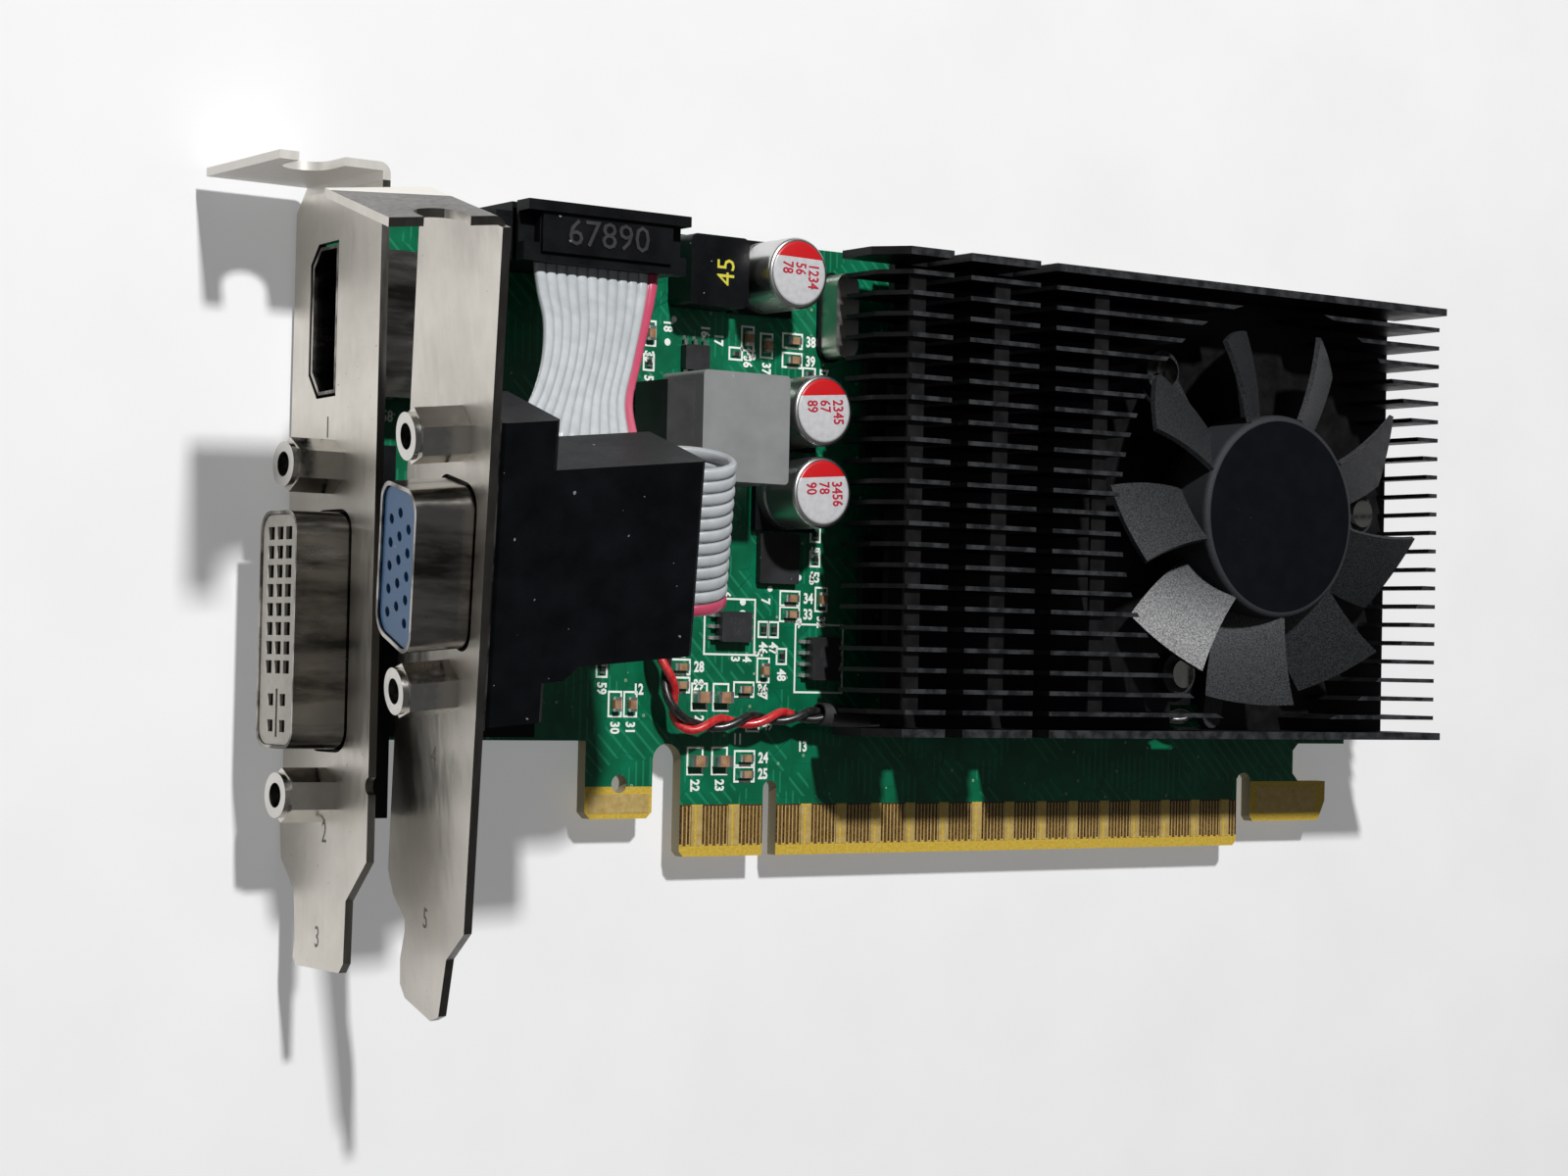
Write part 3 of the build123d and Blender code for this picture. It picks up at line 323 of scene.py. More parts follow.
def gold_finish():
    """Worn gold: bright down the middle of each finger and brown along its sides."""
    f = Finish("gold_plate", Metallic=0.45)
    worn, scratch = f.noise(1.1, 4.0), f.noise(6.0, 3.0)
    x, y, _ = f.parts(f.place())
    off = abs((x + CONTACT_PITCH / 2) % CONTACT_PITCH - CONTACT_PITCH / 2)
    finger = (y < CONTACTS_TOP) * (x > CONTACTS_START) * (x < CONTACTS_END)
    bright = f.ramp(worn, (0.3, (0.62, 0.42, 0.12)), (0.7, (0.74, 0.56, 0.24)))
    dull = f.ramp(scratch, (0.4, (0.10, 0.045, 0.012)), (0.65, (0.28, 0.15, 0.05)))
    f.set(Base_Color=f.mix(finger * (off > HALF_BRIGHT) * (1 - merged_contacts(x)), bright, dull))
    f.set(Roughness=f.span(worn, 0.3, 0.7, 0.25, 0.42))
    return f.bump(scratch, 0.15, 0.01)


def fin_finish():
    """Satin black coating, painted a little grey on the upward faces at the top of the fins: a painted
    highlight mixed with wear and dust.
    """
    f = Finish("black_coating", Specular_IOR_Level=0.3)
    dust, grit = f.noise(0.5, 5.0), f.noise(9.0, 2.0)
    top = f.parts(f.node("ShaderNodeNewGeometry", out="Normal"))[2]
    z = f.parts(f.place())[2]
    # painted highlight mixed with wear: upward faces above FIN_EDGE_Z are painted grey in dusty patches
    top_highlight_and_wear = (top > 0.7) * (z > FIN_EDGE_Z) * f.span(dust, 0.42, 0.6, 0.2, 0.9)
    tone = f.mix(f.span(dust, 0.4, 0.75, 0.0, 1.0), (0.0015, 0.0015, 0.0018), (0.004, 0.004, 0.0045))
    tone = f.mix(top_highlight_and_wear, tone, (0.034, 0.036, 0.040))
    f.set(Base_Color=f.mix((grit > 0.77) * 0.4, tone, (0.16, 0.16, 0.16)),
          Roughness=f.span(dust, 0.3, 0.7, 0.42, 0.58))
    return f.bump(grit, 0.15, 0.01)


def fan_finish(centre, hub_r):
    """Spark-textured black plastic: coarse and silvery on the blades, smooth and dark on the hub's disc."""
    f = Finish("fan_plastic", Specular_IOR_Level=0.2, Coat_Roughness=0.42)
    grain, dust, speck = f.noise(5.0, 4.0, rough=0.75), f.noise(0.4, 4.0), f.noise(2.0, 2.0)
    x, y, z = f.parts(f.place())
    far = ((x - centre[0]) * (x - centre[0]) + (y - centre[1]) * (y - centre[1])).power(0.5)
    disc = (far < hub_r - HUB_RIM) * (z > HUB_DISC_Z)
    rim = (far > hub_r - HUB_RIM) * (far < hub_r + HUB_RIM_OUT)
    blade = f.mix(f.span(grain, 0.36, 0.66, 0.0, 1.0), (0.003, 0.0036, 0.0045), (0.042, 0.046, 0.050))
    smooth = f.mix(f.span(dust, 0.4, 0.7, 0.0, 1.0), (0.0010, 0.0016, 0.0030), (0.0022, 0.0032, 0.0050))
    tone = f.mix(rim * 0.85, blade, (0.030, 0.032, 0.036))
    tone = f.mix(disc, tone, smooth)
    f.set(Base_Color=f.mix((speck > 0.77) * 0.5, tone, (0.15, 0.15, 0.15)))
    f.set(Roughness=f.span(grain, 0.3, 0.7, 0.38, 0.6) * (1 - disc) + disc * 0.45)
    f.set(Coat_Weight=f.span(grain, 0.4, 0.62, 0.25, 0.95) * (1 - disc) * (1 - rim))
    return f.bump(grain * (1 - disc), 0.8, 0.10)


def can_finish():
    """Drawn aluminium with faint rings up its wall."""
    f = Finish("drawn_can", Metallic=1.0)
    rings = f.node("ShaderNodeTexWave", {"bands_direction": "Z"},
                   {"Vector": f.place(), "Scale": 2.2, "Distortion": 1.0})
    cloud = f.noise(0.4, 3.0)
    f.set(Base_Color=f.mix(f.span(cloud, 0.3, 0.7, 0.0, 1.0), (0.72, 0.72, 0.71), (0.60, 0.60, 0.585)))
    f.set(Roughness=f.span(rings + cloud, 0.4, 1.4, 0.2, 0.36))
    return f.bump(rings, 0.12, 0.02)


def ribbon_finish():
    """Pale grey insulation with one red conductor and painted shade along the grooves between conductors; UV
    u runs across the cable.
    """
    f = Finish("ribbon_insulation", Coat_Roughness=0.2, Subsurface_Weight=0.0)
    across = f.parts(f.node("ShaderNodeUVMap", {"uv_map": "across"}))[0]
    groove = abs((across * 12.0) % 1.0 - 0.5)
    soft = f.noise(0.5, 3.0)
    tone = f.mix(f.span(soft, 0.35, 0.65, 0.0, 1.0), (0.40, 0.425, 0.44), (0.47, 0.49, 0.505))
    tone = f.mix(across > 11.0 / 12.0, tone, (0.48, 0.06, 0.12))
    # painted shade: the grooves between the round conductors are painted darker grey
    f.set(Base_Color=f.mix((groove > 0.42) * 0.45, tone, (0.17, 0.18, 0.19)))
    f.set(Roughness=f.span(soft, 0.3, 0.7, 0.28, 0.4), Coat_Weight=0.2 * (1 - (groove > 0.42)))
    return f.bump(soft, 0.1, 0.05)


def wire_finish(name, colour, light, until=99.0):
    """Extruded insulation with a slight sheen and soft scuffs; black past a distance along the card."""
    f = Finish(name, Coat_Roughness=0.15)
    scuff = f.noise(1.6, 4.0)
    x = f.parts(f.place())[0]
    tone = f.mix(f.span(scuff, 0.4, 0.7, 0.0, 1.0), colour, light)
    f.set(Base_Color=f.mix(x > until, tone, (0.010, 0.010, 0.011)))
    f.set(Roughness=f.span(scuff, 0.3, 0.7, 0.28, 0.45), Coat_Weight=f.span(scuff, 0.3, 0.7, 0.4, 0.15))
    return f.bump(scuff, 0.1, 0.02)


def socket_face(face_x):
    """Ivory moulding whose holes are painted dark a little below its face, as painted shade inside the holes.
    """
    f = Finish("ivory_moulding")
    x, soft = f.parts(f.place())[0], f.noise(1.2, 3.0)
    ivory = f.mix(f.span(soft, 0.35, 0.7, 0.0, 1.0), (0.50, 0.47, 0.41), (0.58, 0.55, 0.49))
    # painted shade: everything deeper than 0.35 mm behind the face, the inside of the holes, is painted
    # near-black
    f.set(Base_Color=f.mix(x > face_x + 0.35, ivory, (0.035, 0.030, 0.025)),
          Roughness=f.span(soft, 0.3, 0.7, 0.4, 0.55))
    return f.bump(soft, 0.1, 0.02)


def can_top_finish(name, at, turn):
    """White printed disc with a red segment across its upper part and a bare rolled rim."""
    f = Finish(name, Coat_Weight=0.2, Coat_Roughness=0.25)
    x, y, _ = f.parts(f.place())
    dx, dy = x - at[0], y - at[1]
    side = dx * math.sin(turn) + dy * math.cos(turn)
    soft = f.noise(1.5, 4.0)
    white = f.mix(f.span(soft, 0.35, 0.7, 0.0, 1.0), (0.55, 0.55, 0.56), (0.46, 0.46, 0.47))
    red = f.mix(f.span(soft, 0.35, 0.7, 0.0, 1.0), (0.55, 0.003, 0.006), (0.46, 0.002, 0.006))
    f.set(Base_Color=f.mix(side > 1.72, white, red), Roughness=f.span(soft, 0.3, 0.7, 0.35, 0.5))
    return f.bump(soft, 0.08, 0.02)


def printed(name, colour):
    """Ink: nearly flat colour with patchy cover."""
    f = Finish(name)
    patch = f.noise(4.0, 3.0)
    f.set(Base_Color=f.mix(f.span(patch, 0.5, 0.8, 0.0, 0.35), colour, [c * 0.6 for c in colour]))
    return f.set(Roughness=f.span(patch, 0.3, 0.7, 0.45, 0.6))


def ceramic_finish():
    f = Finish("fired_ceramic")
    soft = f.noise(1.0, 3.0)
    f.set(Base_Color=f.ramp(soft, (0.35, (0.25, 0.13, 0.065)), (0.65, (0.38, 0.23, 0.13))))
    return f.set(Roughness=f.span(soft, 0.3, 0.7, 0.35, 0.5)).bump(soft, 0.2, 0.02)


# ---------------------------------------------------------------- mesh building


def add_piece(name, mesh, body, slot, *finishes, smooth=True):
    """Link a mesh as a piece that rides on a body."""
    for finish in finishes:
        mesh.materials.append(finish.material)
    if smooth:
        mesh.shade_smooth()
    piece = bpy.data.objects.new(name, mesh)
    bpy.context.scene.collection.objects.link(piece)
    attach(piece, body)
    return piece


def grid_mesh(name, points, closed, uv=None):
    """Quads over an (n, m, 3) array of points; closed joins the second direction, and the ends get caps."""
    n, m = points.shape[:2]
    index = np.arange(n * m).reshape(n, m)
    if closed:
        index = np.concatenate([index, index[:, :1]], axis=1)
    quads = np.stack([index[:-1, :-1], index[:-1, 1:], index[1:, 1:], index[1:, :-1]], axis=-1).reshape(-1, 4)
    faces = quads.tolist()
    if closed:
        faces += [index[0, :m][::-1].tolist(), index[-1, :m].tolist()]
    mesh = bpy.data.meshes.new(name)
    mesh.from_pydata(points.reshape(-1, 3).tolist(), [], faces)
    if uv is not None:
        layer = mesh.uv_layers.new(name="across")
        corner = np.zeros(len(mesh.loops), np.int32)
        mesh.loops.foreach_get("vertex_index", corner)
        layer.data.foreach_set("uv", uv.reshape(-1, 2)[corner].astype(np.float32).ravel())
    tidy_normals(mesh)
    return mesh


def tidy_normals(mesh):
    """Outward faces on a closed mesh."""
    work = bmesh.new()
    work.from_mesh(mesh)
    bmesh.ops.recalc_face_normals(work, faces=work.faces)
    work.to_mesh(mesh)
    work.free()


def join_meshes(name, meshes):
    """One mesh from several."""
    work = bmesh.new()
    for mesh in meshes:
        work.from_mesh(mesh)
    joined = bpy.data.meshes.new(name)
    work.to_mesh(joined)
    work.free()
    return joined


def smooth_curve(points, count):
    """Catmull-Rom curve through the points, sampled evenly in parameter."""
    p = np.asarray(points, float)
    p = np.concatenate([2 * p[:1] - p[1:2], p, 2 * p[-1:] - p[-2:-1]])
    t = np.linspace(0, len(p) - 3 - 1e-9, count)
    i = t.astype(int)
    s = (t - i)[:, None]
    a, b, c, d = p[i], p[i + 1], p[i + 2], p[i + 3]
    return 0.5 * (2 * b + (c - a) * s + (2 * a - 5 * b + 4 * c - d) * s ** 2
                  + (3 * b - a - 3 * c + d) * s ** 3)


def unit(v):
    return v / np.maximum(np.linalg.norm(v, axis=-1, keepdims=True), 1e-12)


def box_mesh(x0, x1, y0, y1, z0, z1):
    """Closed box between two corners."""
    corners = [(x, y, z) for z in (z0, z1) for x, y in ((x0, y0), (x1, y0), (x1, y1), (x0, y1))]
    faces = [(3, 2, 1, 0), (4, 5, 6, 7), (0, 1, 5, 4), (1, 2, 6, 5), (2, 3, 7, 6), (3, 0, 4, 7)]
    mesh = bpy.data.meshes.new("box")
    mesh.from_pydata(corners, [], faces)
    return mesh


def text_mesh(words, size, at, right, up, depth, squeeze=1.0, bold=0.0, start="CENTER"):
    """Figures as a thin solid with their base line along right; squeeze narrows them, bold fattens them."""
    curve = bpy.data.curves.new("figures", "FONT")
    curve.body, curve.size, curve.extrude, curve.resolution_u = words, size, depth / 2, 2
    curve.offset, curve.align_x, curve.align_y = bold * size, start, "CENTER"
    holder = bpy.data.objects.new("figures", curve)
    mesh = bpy.data.meshes.new_from_object(holder)
    right, up = Vector(right).normalized(), Vector(up).normalized()
    mesh.transform(pose_matrix(right, up, right.cross(up), Vector(at)) @ Matrix.Diagonal((squeeze, 1, 1, 1)))
    bpy.data.objects.remove(holder)
    return mesh


# ---------------------------------------------------------------- the loose bracket's own frame
KIT_AT = Vector((-57.427, 34.029, 17.957)) * MM
KIT_X = Vector((0.9897, 0.1020, 0.1004)).normalized()
KIT_Z = Vector((-0.0675, -0.2861, 0.9558)).normalized()
KIT_Y = KIT_Z.cross(KIT_X)


def kit_point(x, y, z):
    """Millimetres in the loose bracket's frame to metres in the card's."""
    return KIT_AT + (KIT_X * x + KIT_Y * y + KIT_Z * z) * MM


# ---------------------------------------------------------------- fan lead
LEAD_PATH = np.array([(-22.4, 27.0, 2.9), (-18.4, 27.0, 2.9), (-16.4, 22.0, 2.9), (-14.9, 14.2, 2.9),
                      (-9.0, 14.9, 2.9), (3.7, 16.1, 2.9), (12.0, 15.4, 2.5), (24.0, 16.0, 2.5),
                      (36.0, 15.95, 2.5), (46.0, 16.1, 2.5), (54.0, 16.0, 2.5), (60.6, 16.3, 3.7)]) * MM
TWIST_PITCH = 8.5 * MM


def nurbs_line(points):
    """Points along the smooth line whose control points are given."""
    curve = bpy.data.curves.new("line", "CURVE")
    curve.dimensions, curve.resolution_u = "3D", 24
    spline = curve.splines.new("NURBS")
    spline.points.add(len(points) - 1)
    for place, point in zip(spline.points, points):
        place.co = (*point, 1)
    spline.order_u, spline.use_endpoint_u = 3, True
    holder = bpy.data.objects.new("line", curve)
    mesh = bpy.data.meshes.new_from_object(holder)
    line = np.array([v.co for v in mesh.vertices])
    bpy.data.objects.remove(holder)
    return line


def along(line):
    """Distance along a line at each of its points."""
    return np.concatenate([[0], np.cumsum(np.linalg.norm(np.diff(line, axis=0), axis=1))])


def even(line, count):
    """The same line with evenly spaced points."""
    far = along(line)
    at = np.linspace(0, far[-1], count)
    return np.stack([np.interp(at, far, line[:, i]) for i in range(3)], axis=1)


def strand(line, phase, r_turn, r_wire, pitch, sides=10):
    """Round wire wound about a line: centre = line + r_turn (cos a, sin a) in its side and up directions."""
    ahead = unit(np.gradient(line, axis=0))
    side = unit(np.cross(ahead, (0, 0, 1)))
    up = np.cross(side, ahead)
    a = (2 * math.pi * along(line) / pitch + phase)[:, None]
    centre = line + r_turn * (np.cos(a) * side + np.sin(a) * up)
    ahead = unit(np.gradient(centre, axis=0))
    side = unit(np.cross(ahead, (0, 0, 1)))
    up = np.cross(side, ahead)
    b = np.linspace(0, 2 * math.pi, sides, endpoint=False)[None, :, None]
    return centre[:, None] + r_wire * (np.cos(b) * side[:, None] + np.sin(b) * up[:, None])


def make_fan_lead(red, black):
    line = even(nurbs_line(LEAD_PATH), 420)
    wires = []
    for phase in (0.0, math.pi):
        wires.append(grid_mesh("wire", strand(line, phase, 0.49 * MM, 0.49 * MM, TWIST_PITCH), True))
    first = len(wires[0].polygons)
    mesh = join_meshes("fan_lead_wires", wires)
    which = np.zeros(len(mesh.polygons), np.int32)
    which[first:] = 1
    lead = add_piece("fan_lead_wires", mesh, "card", "lead_insulation", red, black)
    mesh.polygons.foreach_set("material_index", which)
    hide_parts("fan_lead")


# ---------------------------------------------------------------- ribbon
CONDUCTORS = 12
RIDGE_STEPS = 8
RIBBON_Z = 11.075
RIBBON_LEFT = [(-39.2, 67.0, RIBBON_Z), (-39.2, 62.2, RIBBON_Z), (-39.9, 59.2, 13.0), (-41.1, 55.9, 16.3),
               (-43.2, 51.9, 19.7), (-46.2, 47.9, 23.0)]
RIBBON_RIGHT = [(-23.96, 67.0, RIBBON_Z), (-23.96, 62.2, RIBBON_Z), (-24.9, 59.2, 11.9), (-26.6, 56.0, 13.4),
                (-29.1, 51.9, 15.8), (-32.2, 47.6, 19.4)]


def ribbon_mesh(name, left, right):
    """Ribbed band between two edge curves: its half thickness at w across is a row of twelve half circles,
    0.14 + 0.31 sqrt(1 - (2 frac(12 w) - 1)^2) millimetres."""
    w = np.linspace(0, 1, CONDUCTORS * RIDGE_STEPS + 1)
    ridge = 2 * ((w * CONDUCTORS) % 1.0) - 1
    half = (0.14 + 0.31 * np.sqrt(np.clip(1 - ridge ** 2, 0, 1))) * MM
    across = right - left
    ahead = np.gradient((left + right) / 2, axis=0)
    up = unit(np.cross(across, ahead))
    face = left[:, None] + across[:, None] * w[None, :, None]
    top = face + up[:, None] * half[None, :, None]
    under = face - up[:, None] * half[None, :, None]
    loop = np.concatenate([top, under[:, ::-1]], axis=1)
    around = np.concatenate([w, w[::-1]])
    uv = np.stack(np.broadcast_arrays(around[None, :], np.linspace(0, 1, len(left))[:, None]), axis=-1)
    return grid_mesh(name, loop, True, uv)


def make_ribbon(finish):
    turn_x, turn_z, r = 27.0, 7.2, 4.6
    left = [Vector(p) * MM for p in RIBBON_LEFT] + [kit_point(9.6, 10.6, 3.6), kit_point(9.9, 6.5, 2.7)]
    right = [Vector(p) * MM for p in RIBBON_RIGHT] + [kit_point(24.0, 7.4, 2.6), kit_point(24.2, 3.5, 2.6)]
    run = ribbon_mesh("ribbon_run", smooth_curve(left, 60), smooth_curve(right, 60))
    a = np.linspace(-math.pi / 2, math.pi / 2, 40)
    arc = [(turn_x + r * math.cos(t), turn_z + r * math.sin(t)) for t in a]
    path = [(12.0, turn_z - r)] + arc + [(23.6, turn_z + r)]
    upper = np.array([kit_point(x, 7.6, z) for x, z in path])
    lower = np.array([kit_point(x, -7.6, z) for x, z in path])
    bend = ribbon_mesh("ribbon_bend", upper, lower)
    first = add_piece("ribbon_run", run, "vga_kit", "ribbon_insulation", finish)
    second = add_piece("ribbon_bend", bend, "vga_kit", "ribbon_insulation", finish)
    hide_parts("ribbon_cable")
    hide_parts("ribbon_cable")


# ---------------------------------------------------------------- capacitor tops and printed figures
CAP_XY = [(-3.2, 64.8), (0.6, 49.8), (0.7, 40.7)]
CAP_TURN = [0.02, -0.08, -0.08]
CAP_FIGURES = [("1234", "56", "78"), ("2345", "67", "89"), ("3456", "78", "90")]
PRINT_T = 0.02 * MM
# Millimetres: heights of the figures, the width of the printed bars and the places of labels and rows.
CAN_FIGURE, LABEL_FIGURE, CHIP_FIGURE = 1.95, 1.65, 1.2
STAMP_FIGURE, PLUG_FIGURE, INDUCTOR_FIGURE = 3.1, 3.9, 3.3
PRINTED_BAR = 0.22
LABEL_SQUEEZE, LABEL_BOLD, LABEL_GAP, LABEL_Z = 0.82, 0.035, 1.35, 0.02
CAN_TOP_R, CAN_DOME = 3.55, 0.12
CAN_FIGURE_UP, CAN_ROW_STEP, CAN_FIGURE_LEFT = 1.8, 1.75, 1.2


def disc_mesh(name, x, y, z, r, dome):
    """Shallow dome: z = dome (1 - (rho / r)^4) above the can's rim, with a thin wall below."""
    rho = np.concatenate([np.linspace(0.001, 1, 14), [1.0]])
    a = np.linspace(0, 2 * math.pi, 48, endpoint=False)
    height = np.concatenate([dome * (1 - rho[:-1] ** 4), [-0.05]])
    ring = np.stack([x + r * rho[:, None] * np.cos(a), y + r * rho[:, None] * np.sin(a),
                     z + height[:, None] + 0 * a], axis=-1)
    return grid_mesh(name, ring[::-1] * MM, True)


def make_capacitor_tops(ink):
    top_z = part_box("capacitor_cans")[1].z / MM
    for i, ((x, y), turn, lines) in enumerate(zip(CAP_XY, CAP_TURN, CAP_FIGURES)):
        finish = can_top_finish(f"can_print_{i + 1}", (x, y), turn)
        add_piece(f"capacitor_top_{i + 1}", disc_mesh("top", x, y, top_z, CAN_TOP_R, CAN_DOME),
                  "card", "can_metal", finish)
        figures = []
        right = Vector((-math.sin(turn), -math.cos(turn), 0))
        up = Vector((math.cos(turn), -math.sin(turn), 0))
        for row, words in enumerate(lines):
            shift = up * (CAN_FIGURE_UP - CAN_ROW_STEP * row) - right * CAN_FIGURE_LEFT
            at = Vector((x, y, top_z + CAN_DOME + 0.01)) + shift
            figures.append(text_mesh(words, CAN_FIGURE * MM, at * MM, right, up, PRINT_T, 0.72, 0.02, "LEFT"))
        add_piece(f"capacitor_figures_{i + 1}", join_meshes("figures", figures), "card",
                  "can_metal", ink, smooth=False)


def solids_of(node):
    """Boxes, in millimetres, of the separate solids of a CAD node."""
    work = bmesh.new()
    work.from_mesh(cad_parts[node].data)
    bmesh.ops.remove_doubles(work, verts=work.verts, dist=1e-7)
    seen, found = set(), []
    for start in work.verts:
        if start.index in seen:
            continue
        seen.add(start.index)
        group, queue = [], [start]
        while queue:
            vertex = queue.pop()
            group.append(vertex.co)
            for edge in vertex.link_edges:
                other = edge.other_vert(vertex)
                if other.index not in seen:
                    seen.add(other.index)
                    queue.append(other)
        points = np.array(group) / MM
        found.append((points.min(0), points.max(0)))
    work.free()
    return found


def outline_meshes(low, high, gap, width):
    """Four thin printed bars round a part."""
    x0, y0, x1, y1 = low[0] - gap, low[1] - gap, high[0] + gap, high[1] + gap
    z0, z1 = 0.0, 0.03
    bars = [(x0, x1, y0 - width, y0), (x0, x1, y1, y1 + width), (x0 - width, x0, y0 - width, y1 + width),
            (x1, x1 + width, y0 - width, y1 + width)]
    return [box_mesh(a * MM, b * MM, c * MM, d * MM, z0 * MM, z1 * MM) for a, b, c, d in bars]


# Free labels printed on the board: x, y, figures, and whether they read across it.
LOOSE_LABELS = [(-12.2, 24.2, "1", False), (-12.2, 22.6, "2", False), (-5.2, 22.0, "3", True),
                (-3.6, 22.0, "4", True), (-2.1, 22.6, "5", True), (-6.6, 29.2, "6", True),
                (-1.2, 28.6, "7", True), (5.2, 31.2, "8", False), (3.6, 26.2, "9", False),
                (-14.9, 28.2, "10", True), (-4.6, 13.0, "11", False), (-18.0, 18.4, "12", False),
                (4.4, 12.2, "13", False), (-19.4, 64.6, "14", True), (2.2, 66.6, "15", False),
                (-10.2, 58.4, "16", True), (-8.4, 57.6, "17", True), (-15.2, 58.6, "18", True)]
TEST_PADS = [(-4.3, 26.9, 0.6), (-4.3, 28.4, 0.4), (-13.0, 33.0, 0.35), (-9.2, 33.4, 0.35),
             (-0.6, 30.0, 0.35), (3.4, 31.4, 0.35), (-16.2, 36.0, 0.4), (-15.2, 56.8, 0.4),
             (-14.4, 59.4, 0.35), (9.6, 66.0, 0.4)]


def label_mesh(words, at, right, up):
    """One printed label of the board."""
    return text_mesh(words, LABEL_FIGURE * MM, Vector(at) * MM, right, up, PRINT_T, LABEL_SQUEEZE, LABEL_BOLD)


def make_silkscreen(ink):
    """Printed boxes round the small parts, with a figure beside most of them."""
    marks = []
    parts = [(low, high, 0.75) for low, high in solids_of("ceramic_capacitors")]
    parts += [(low, high, 0.45) for low, high in solids_of("chip_resistors")]
    for i, (low, high, gap) in enumerate(parts):
        along_x = high[0] - low[0] > high[1] - low[1]
        grow = np.array([gap if along_x else 0.3, 0.3 if along_x else gap, 0])
        marks += outline_meshes(low - grow, high + grow, 0.0, PRINTED_BAR)
        middle = (low + high) / 2
        words = str(20 + i)
        if along_x:
            at, right, up = (high[0] + gap + LABEL_GAP, middle[1], LABEL_Z), (1, 0, 0), (0, 1, 0)
        else:
            at, right, up = (middle[0], low[1] - gap - LABEL_GAP, LABEL_Z), (0, -1, 0), (1, 0, 0)
        marks.append(label_mesh(words, at, right, up))
    for low, high in solids_of("chip_bodies")[:2]:
        marks += outline_meshes(low, high, 1.3, PRINTED_BAR)
    for x, y, words, upright in LOOSE_LABELS:
        right, up = ((0, -1, 0), (1, 0, 0)) if upright else ((1, 0, 0), (0, 1, 0))
        marks.append(label_mesh(words, (x, y, LABEL_Z), right, up))
    for x, y, r in TEST_PADS:
        marks.append(disc_mesh("pad", x, y, 0.06, r, 0.02))
    add_piece("silkscreen", join_meshes("silkscreen", marks), "card", "solder_mask", ink, smooth=False)


def make_stamps(dark, grey, yellow):
    """Plain figures pressed or printed on brackets, plug, inductor and chips."""
    plate_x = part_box("hdmi_shell")[0].x - 0.1 * MM - PRINT_T / 2
    marks = []
    for words, y, z in (("1", 44.4, 4.6), ("2", 3.6, 6.0), ("3", -7.0, 5.0)):
        at = (plate_x, y * MM, z * MM)
        marks.append(text_mesh(words, STAMP_FIGURE * MM, at, (0, 0, 1), (0, 1, 0), PRINT_T, 0.7))
    add_piece("card_bracket_stamps", join_meshes("stamps", marks), "card", "plated_steel", dark, smooth=False)
    marks = []
    for words, y in (("4", -20.5), ("5", -37.5)):
        at = kit_point(-0.011, y, 9.5)
        marks.append(text_mesh(words, STAMP_FIGURE * MM, at, KIT_Z, KIT_Y, PRINT_T, 0.75))
    add_piece("kit_bracket_stamps", join_meshes("stamps", marks), "vga_kit", "plated_steel", dark,
              smooth=False)
    low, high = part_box("idc_clamp")
    at = Vector(((low.x + high.x) / 2, (low.y + high.y) / 2, high.z - 0.42 * MM))
    plug_figures = text_mesh("67890", PLUG_FIGURE * MM, at, (1, 0, 0), (0, 1, 0), 0.16 * MM, 1.05)
    add_piece("plug_figures", plug_figures, "vga_kit", "black_plastic", grey, smooth=False)
    low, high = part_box("small_inductor")
    at = Vector((high.x - 3.0 * MM, (low.y + high.y) / 2, high.z))
    inductor_figures = text_mesh("45", INDUCTOR_FIGURE * MM, at, (0, 1, 0), (-1, 0, 0), PRINT_T, 0.95)
    add_piece("inductor_figures", inductor_figures, "card", "black_plastic", yellow, smooth=False)
    marks = []
    for (low, high), lines in zip(solids_of("chip_bodies"), (("1234", "56"), ("2345", "67"))):
        for row, words in enumerate(lines):
            at = Vector(((low[0] + high[0]) / 2, (low[1] + high[1]) / 2 + 0.6 - 1.2 * row, high[2])) * MM
            marks.append(text_mesh(words, CHIP_FIGURE * MM, at, (1, 0, 0), (0, 1, 0), PRINT_T, 0.9))
    add_piece("chip_figures", join_meshes("figures", marks), "card", "black_plastic", grey, smooth=False)


# ---------------------------------------------------------------- finishes on the CAD nodes


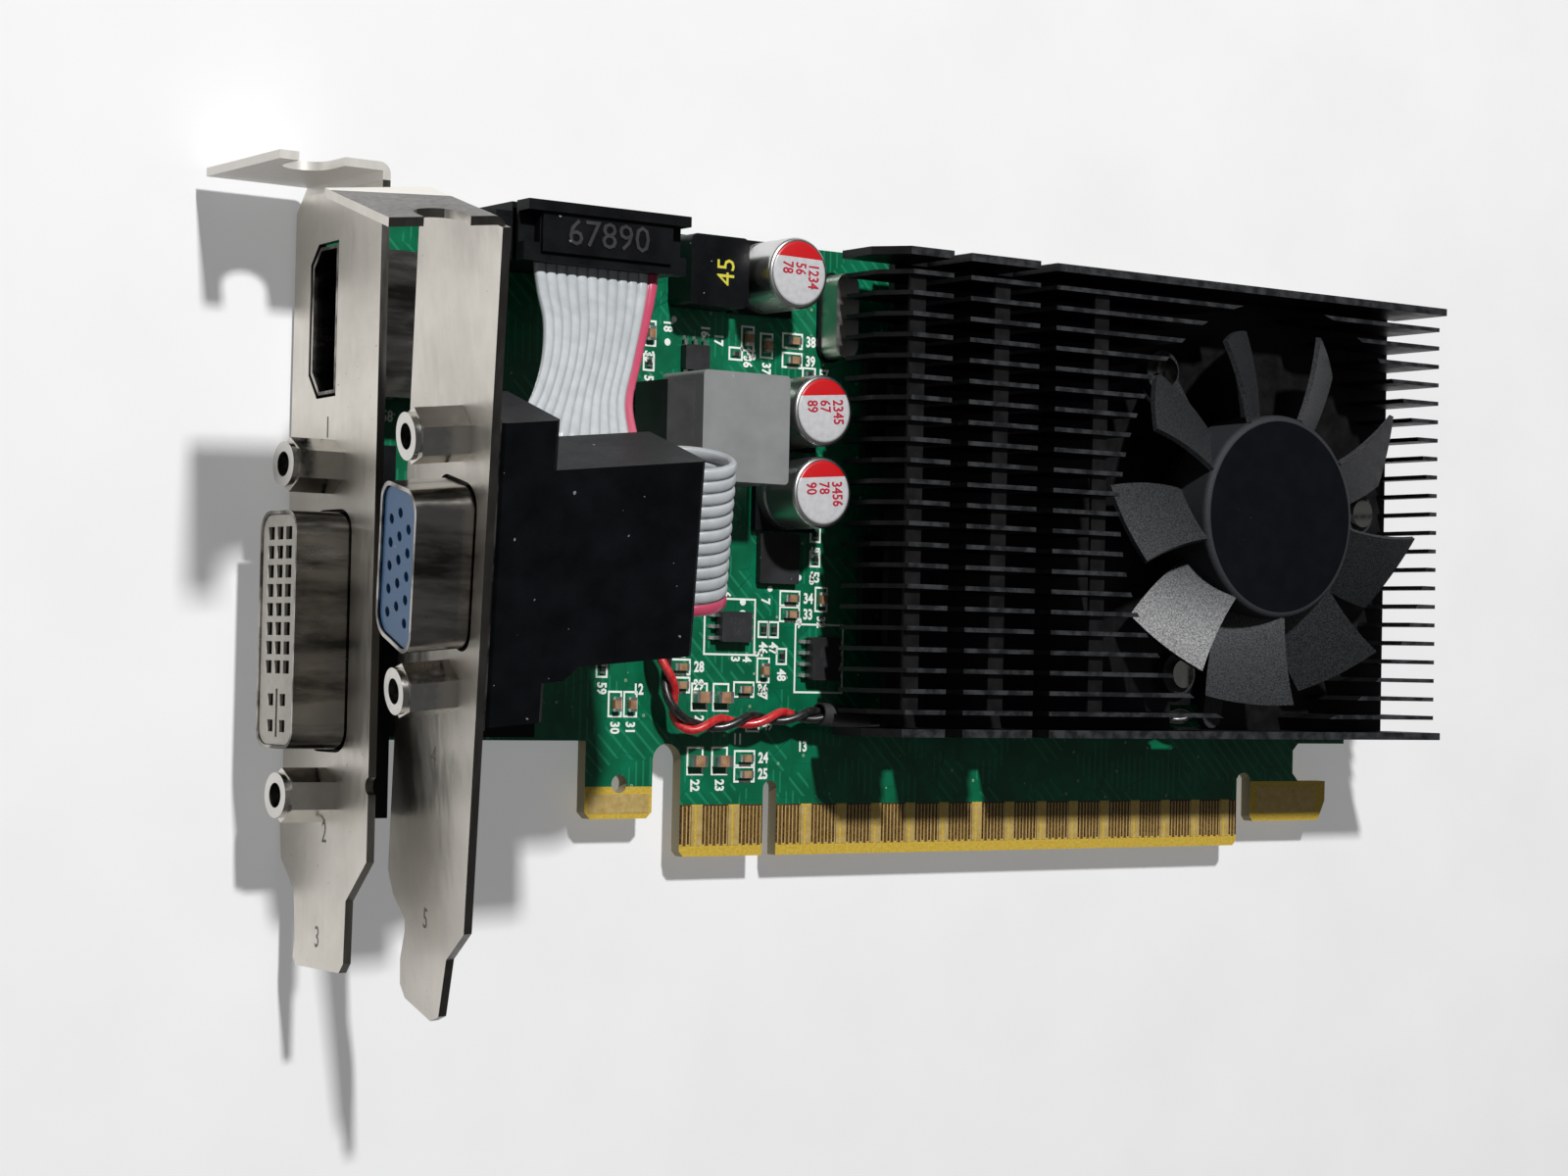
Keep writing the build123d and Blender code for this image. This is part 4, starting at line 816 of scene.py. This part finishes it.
def finish_nodes():
    """Every node that keeps its own mesh gets its finish."""
    black = moulded("black_moulding", (0.0012, 0.0016, 0.0024), (0.003, 0.0036, 0.005), 0.42, shine=0.2)
    metal = plated("screw_plating", (0.66, 0.64, 0.60), (0.2, 0.17, 0.13), 0.14)
    # the last argument sets how strongly the painted reflection bands darken the shells
    shell = plated("shell_plating", (0.46, 0.435, 0.40), (0.035, 0.031, 0.027), 0.18, 0.9, (0.2, 1, 1), 0.88)
    tin = plated("solder_tin", (0.80, 0.80, 0.79), (0.4, 0.4, 0.38), 0.28)
    epoxy = moulded("chip_epoxy", (0.010, 0.010, 0.011), (0.022, 0.023, 0.025), 0.5, 9.0)
    low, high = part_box("rotor_cup")
    middle, hub_r = (low + high) / 2 / MM, (high.x - low.x) / 2 / MM + 1.2
    gold, coating, fan = gold_finish(), fin_finish(), fan_finish(middle, hub_r)
    rubber = moulded("sleeve_rubber", (0.012, 0.012, 0.012), (0.035, 0.035, 0.035), 0.55, 5.0)
    white = moulded("white_moulding", (0.52, 0.50, 0.45), (0.58, 0.57, 0.53), 0.45)
    finishes = {
        "board": board_finish(), "edge_contacts": gold, "hdmi_contacts": shell, "vga_contacts": gold,
        "pin_header_pins": gold,
        "card_bracket": sheet_plate("card_bracket_plate", (1, 0, 0), 68.5),
        "kit_bracket": sheet_plate("kit_bracket_plate", tuple(KIT_X), 64.5),
        "dvi_jackscrews": metal, "vga_jackscrews": metal, "heatsink_screws": metal, "fan_screws": metal,
        "hdmi_shell": shell, "dvi_shell": shell, "vga_shell": shell, "rotor_cup": shell, "fan_shaft": shell,
        "dvi_insulator": socket_face(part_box("dvi_insulator")[0].x / MM),
        "vga_insulator": moulded("blue_moulding", (0.040, 0.120, 0.260), (0.055, 0.155, 0.31), 0.4),
        "capacitor_cans": can_finish(),
        "crystal": plated("crystal_can", (0.62, 0.60, 0.56), (0.3, 0.28, 0.25), 0.3),
        "choke_core": moulded("grey_powder_core", (0.20, 0.205, 0.205), (0.235, 0.24, 0.24), 0.55, 4.0, 0.03),
        "choke_winding": moulded("dark_ferrite", (0.02, 0.02, 0.02), (0.035, 0.035, 0.035), 0.6),
        "magnet_ring": moulded("magnet_ferrite", (0.02, 0.02, 0.022), (0.04, 0.04, 0.04), 0.6),
        "chip_bodies": epoxy, "chip_resistors": epoxy, "memory_chips": epoxy,
        "ceramic_capacitors": ceramic_finish(),
        "gpu_package": moulded("package_laminate", (0.01, 0.14, 0.05), (0.02, 0.2, 0.08), 0.4),
        "gpu_die": plated("polished_silicon", (0.3, 0.32, 0.36), (0.2, 0.2, 0.25), 0.12),
        "thermal_paste": moulded("grey_paste", (0.45, 0.45, 0.45), (0.55, 0.55, 0.55), 0.7),
        "fan_coils": plated("enamelled_copper", (0.80, 0.36, 0.14), (0.4, 0.15, 0.05), 0.35),
        "fan_bearing": plated("sintered_bronze", (0.62, 0.42, 0.22), (0.3, 0.2, 0.1), 0.4),
        "fan_stator": plated("laminations", (0.4, 0.4, 0.41), (0.2, 0.2, 0.2), 0.4),
        "fan_frame": fan, "fan_impeller": fan, "fan_socket": white, "fan_plug": white, "lead_sleeve": rubber,
    }
    for name in ("hdmi_insulator", "dvi_housing", "pin_header_base", "capacitor_bases", "small_inductor",
                 "crystal_foot", "hood", "idc_plug", "idc_clamp"):
        finishes[name] = black
    for name in ("small_inductor_pads", "choke_leads", "chip_leads", "chip_end_caps"):
        finishes[name] = tin
    for name in ("heatsink_base", "fin_bank_a", "fin_bank_b", "fin_bank_c", "heatsink_end_plates",
                 "fin_tabs"):
        finishes[name] = coating
    for name, finish in finishes.items():
        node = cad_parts[name]
        node.data.materials.clear()
        node.data.materials.append(finish.material)


def make_floor():
    """Pale matt table top a hair below the lowest part of the card."""
    f = Finish("table_top", Specular_IOR_Level=0.3)
    soft = f.noise(0.05, 4.0)
    f.set(Base_Color=f.mix(soft, (0.60, 0.60, 0.605), (0.65, 0.65, 0.653)),
          Roughness=f.span(soft, 0.3, 0.7, 0.6, 0.8))
    f.set(Emission_Color=f.mix(soft, (0.9, 0.9, 0.91), (1.0, 1.0, 1.0)), Emission_Strength=0.22)
    level = cad_box[0].z - 0.1 * MM
    mesh = bpy.data.meshes.new("table_top")
    mesh.from_pydata([(-2, -2, level), (2, -2, level), (2, 2, level), (-2, 2, level)], [], [(0, 1, 2, 3)])
    mesh.materials.append(f.material)
    floor = bpy.data.objects.new("table_top", mesh)
    bpy.context.scene.collection.objects.link(floor)


make_camera()
make_floor()
make_world(0.085, (0.95, 0.97, 1.0))
area_light("key", KEY_FROM, 1.1, 0.06, 14.2)
area_light("fill", Vector((-1.0, -0.35, 0.9)), 1.2, 1.2, 0.6)
bpy.context.scene.view_settings.view_transform = "Standard"

finish_nodes()
make_fan_lead(wire_finish("red_insulation", (0.48, 0.010, 0.014), (0.62, 0.05, 0.05), 1.2),
              wire_finish("black_insulation", (0.008, 0.008, 0.008), (0.03, 0.03, 0.03)))
make_ribbon(ribbon_finish())
make_capacitor_tops(printed("red_ink", (0.42, 0.008, 0.03)))
make_silkscreen(printed("white_ink", (0.78, 0.82, 0.76)))
make_stamps(printed("stamped_shade", (0.16, 0.145, 0.125)),
            moulded("raised_figures", (0.02, 0.02, 0.022), (0.035, 0.035, 0.038)),
            printed("yellow_ink", (0.60, 0.55, 0.05)))
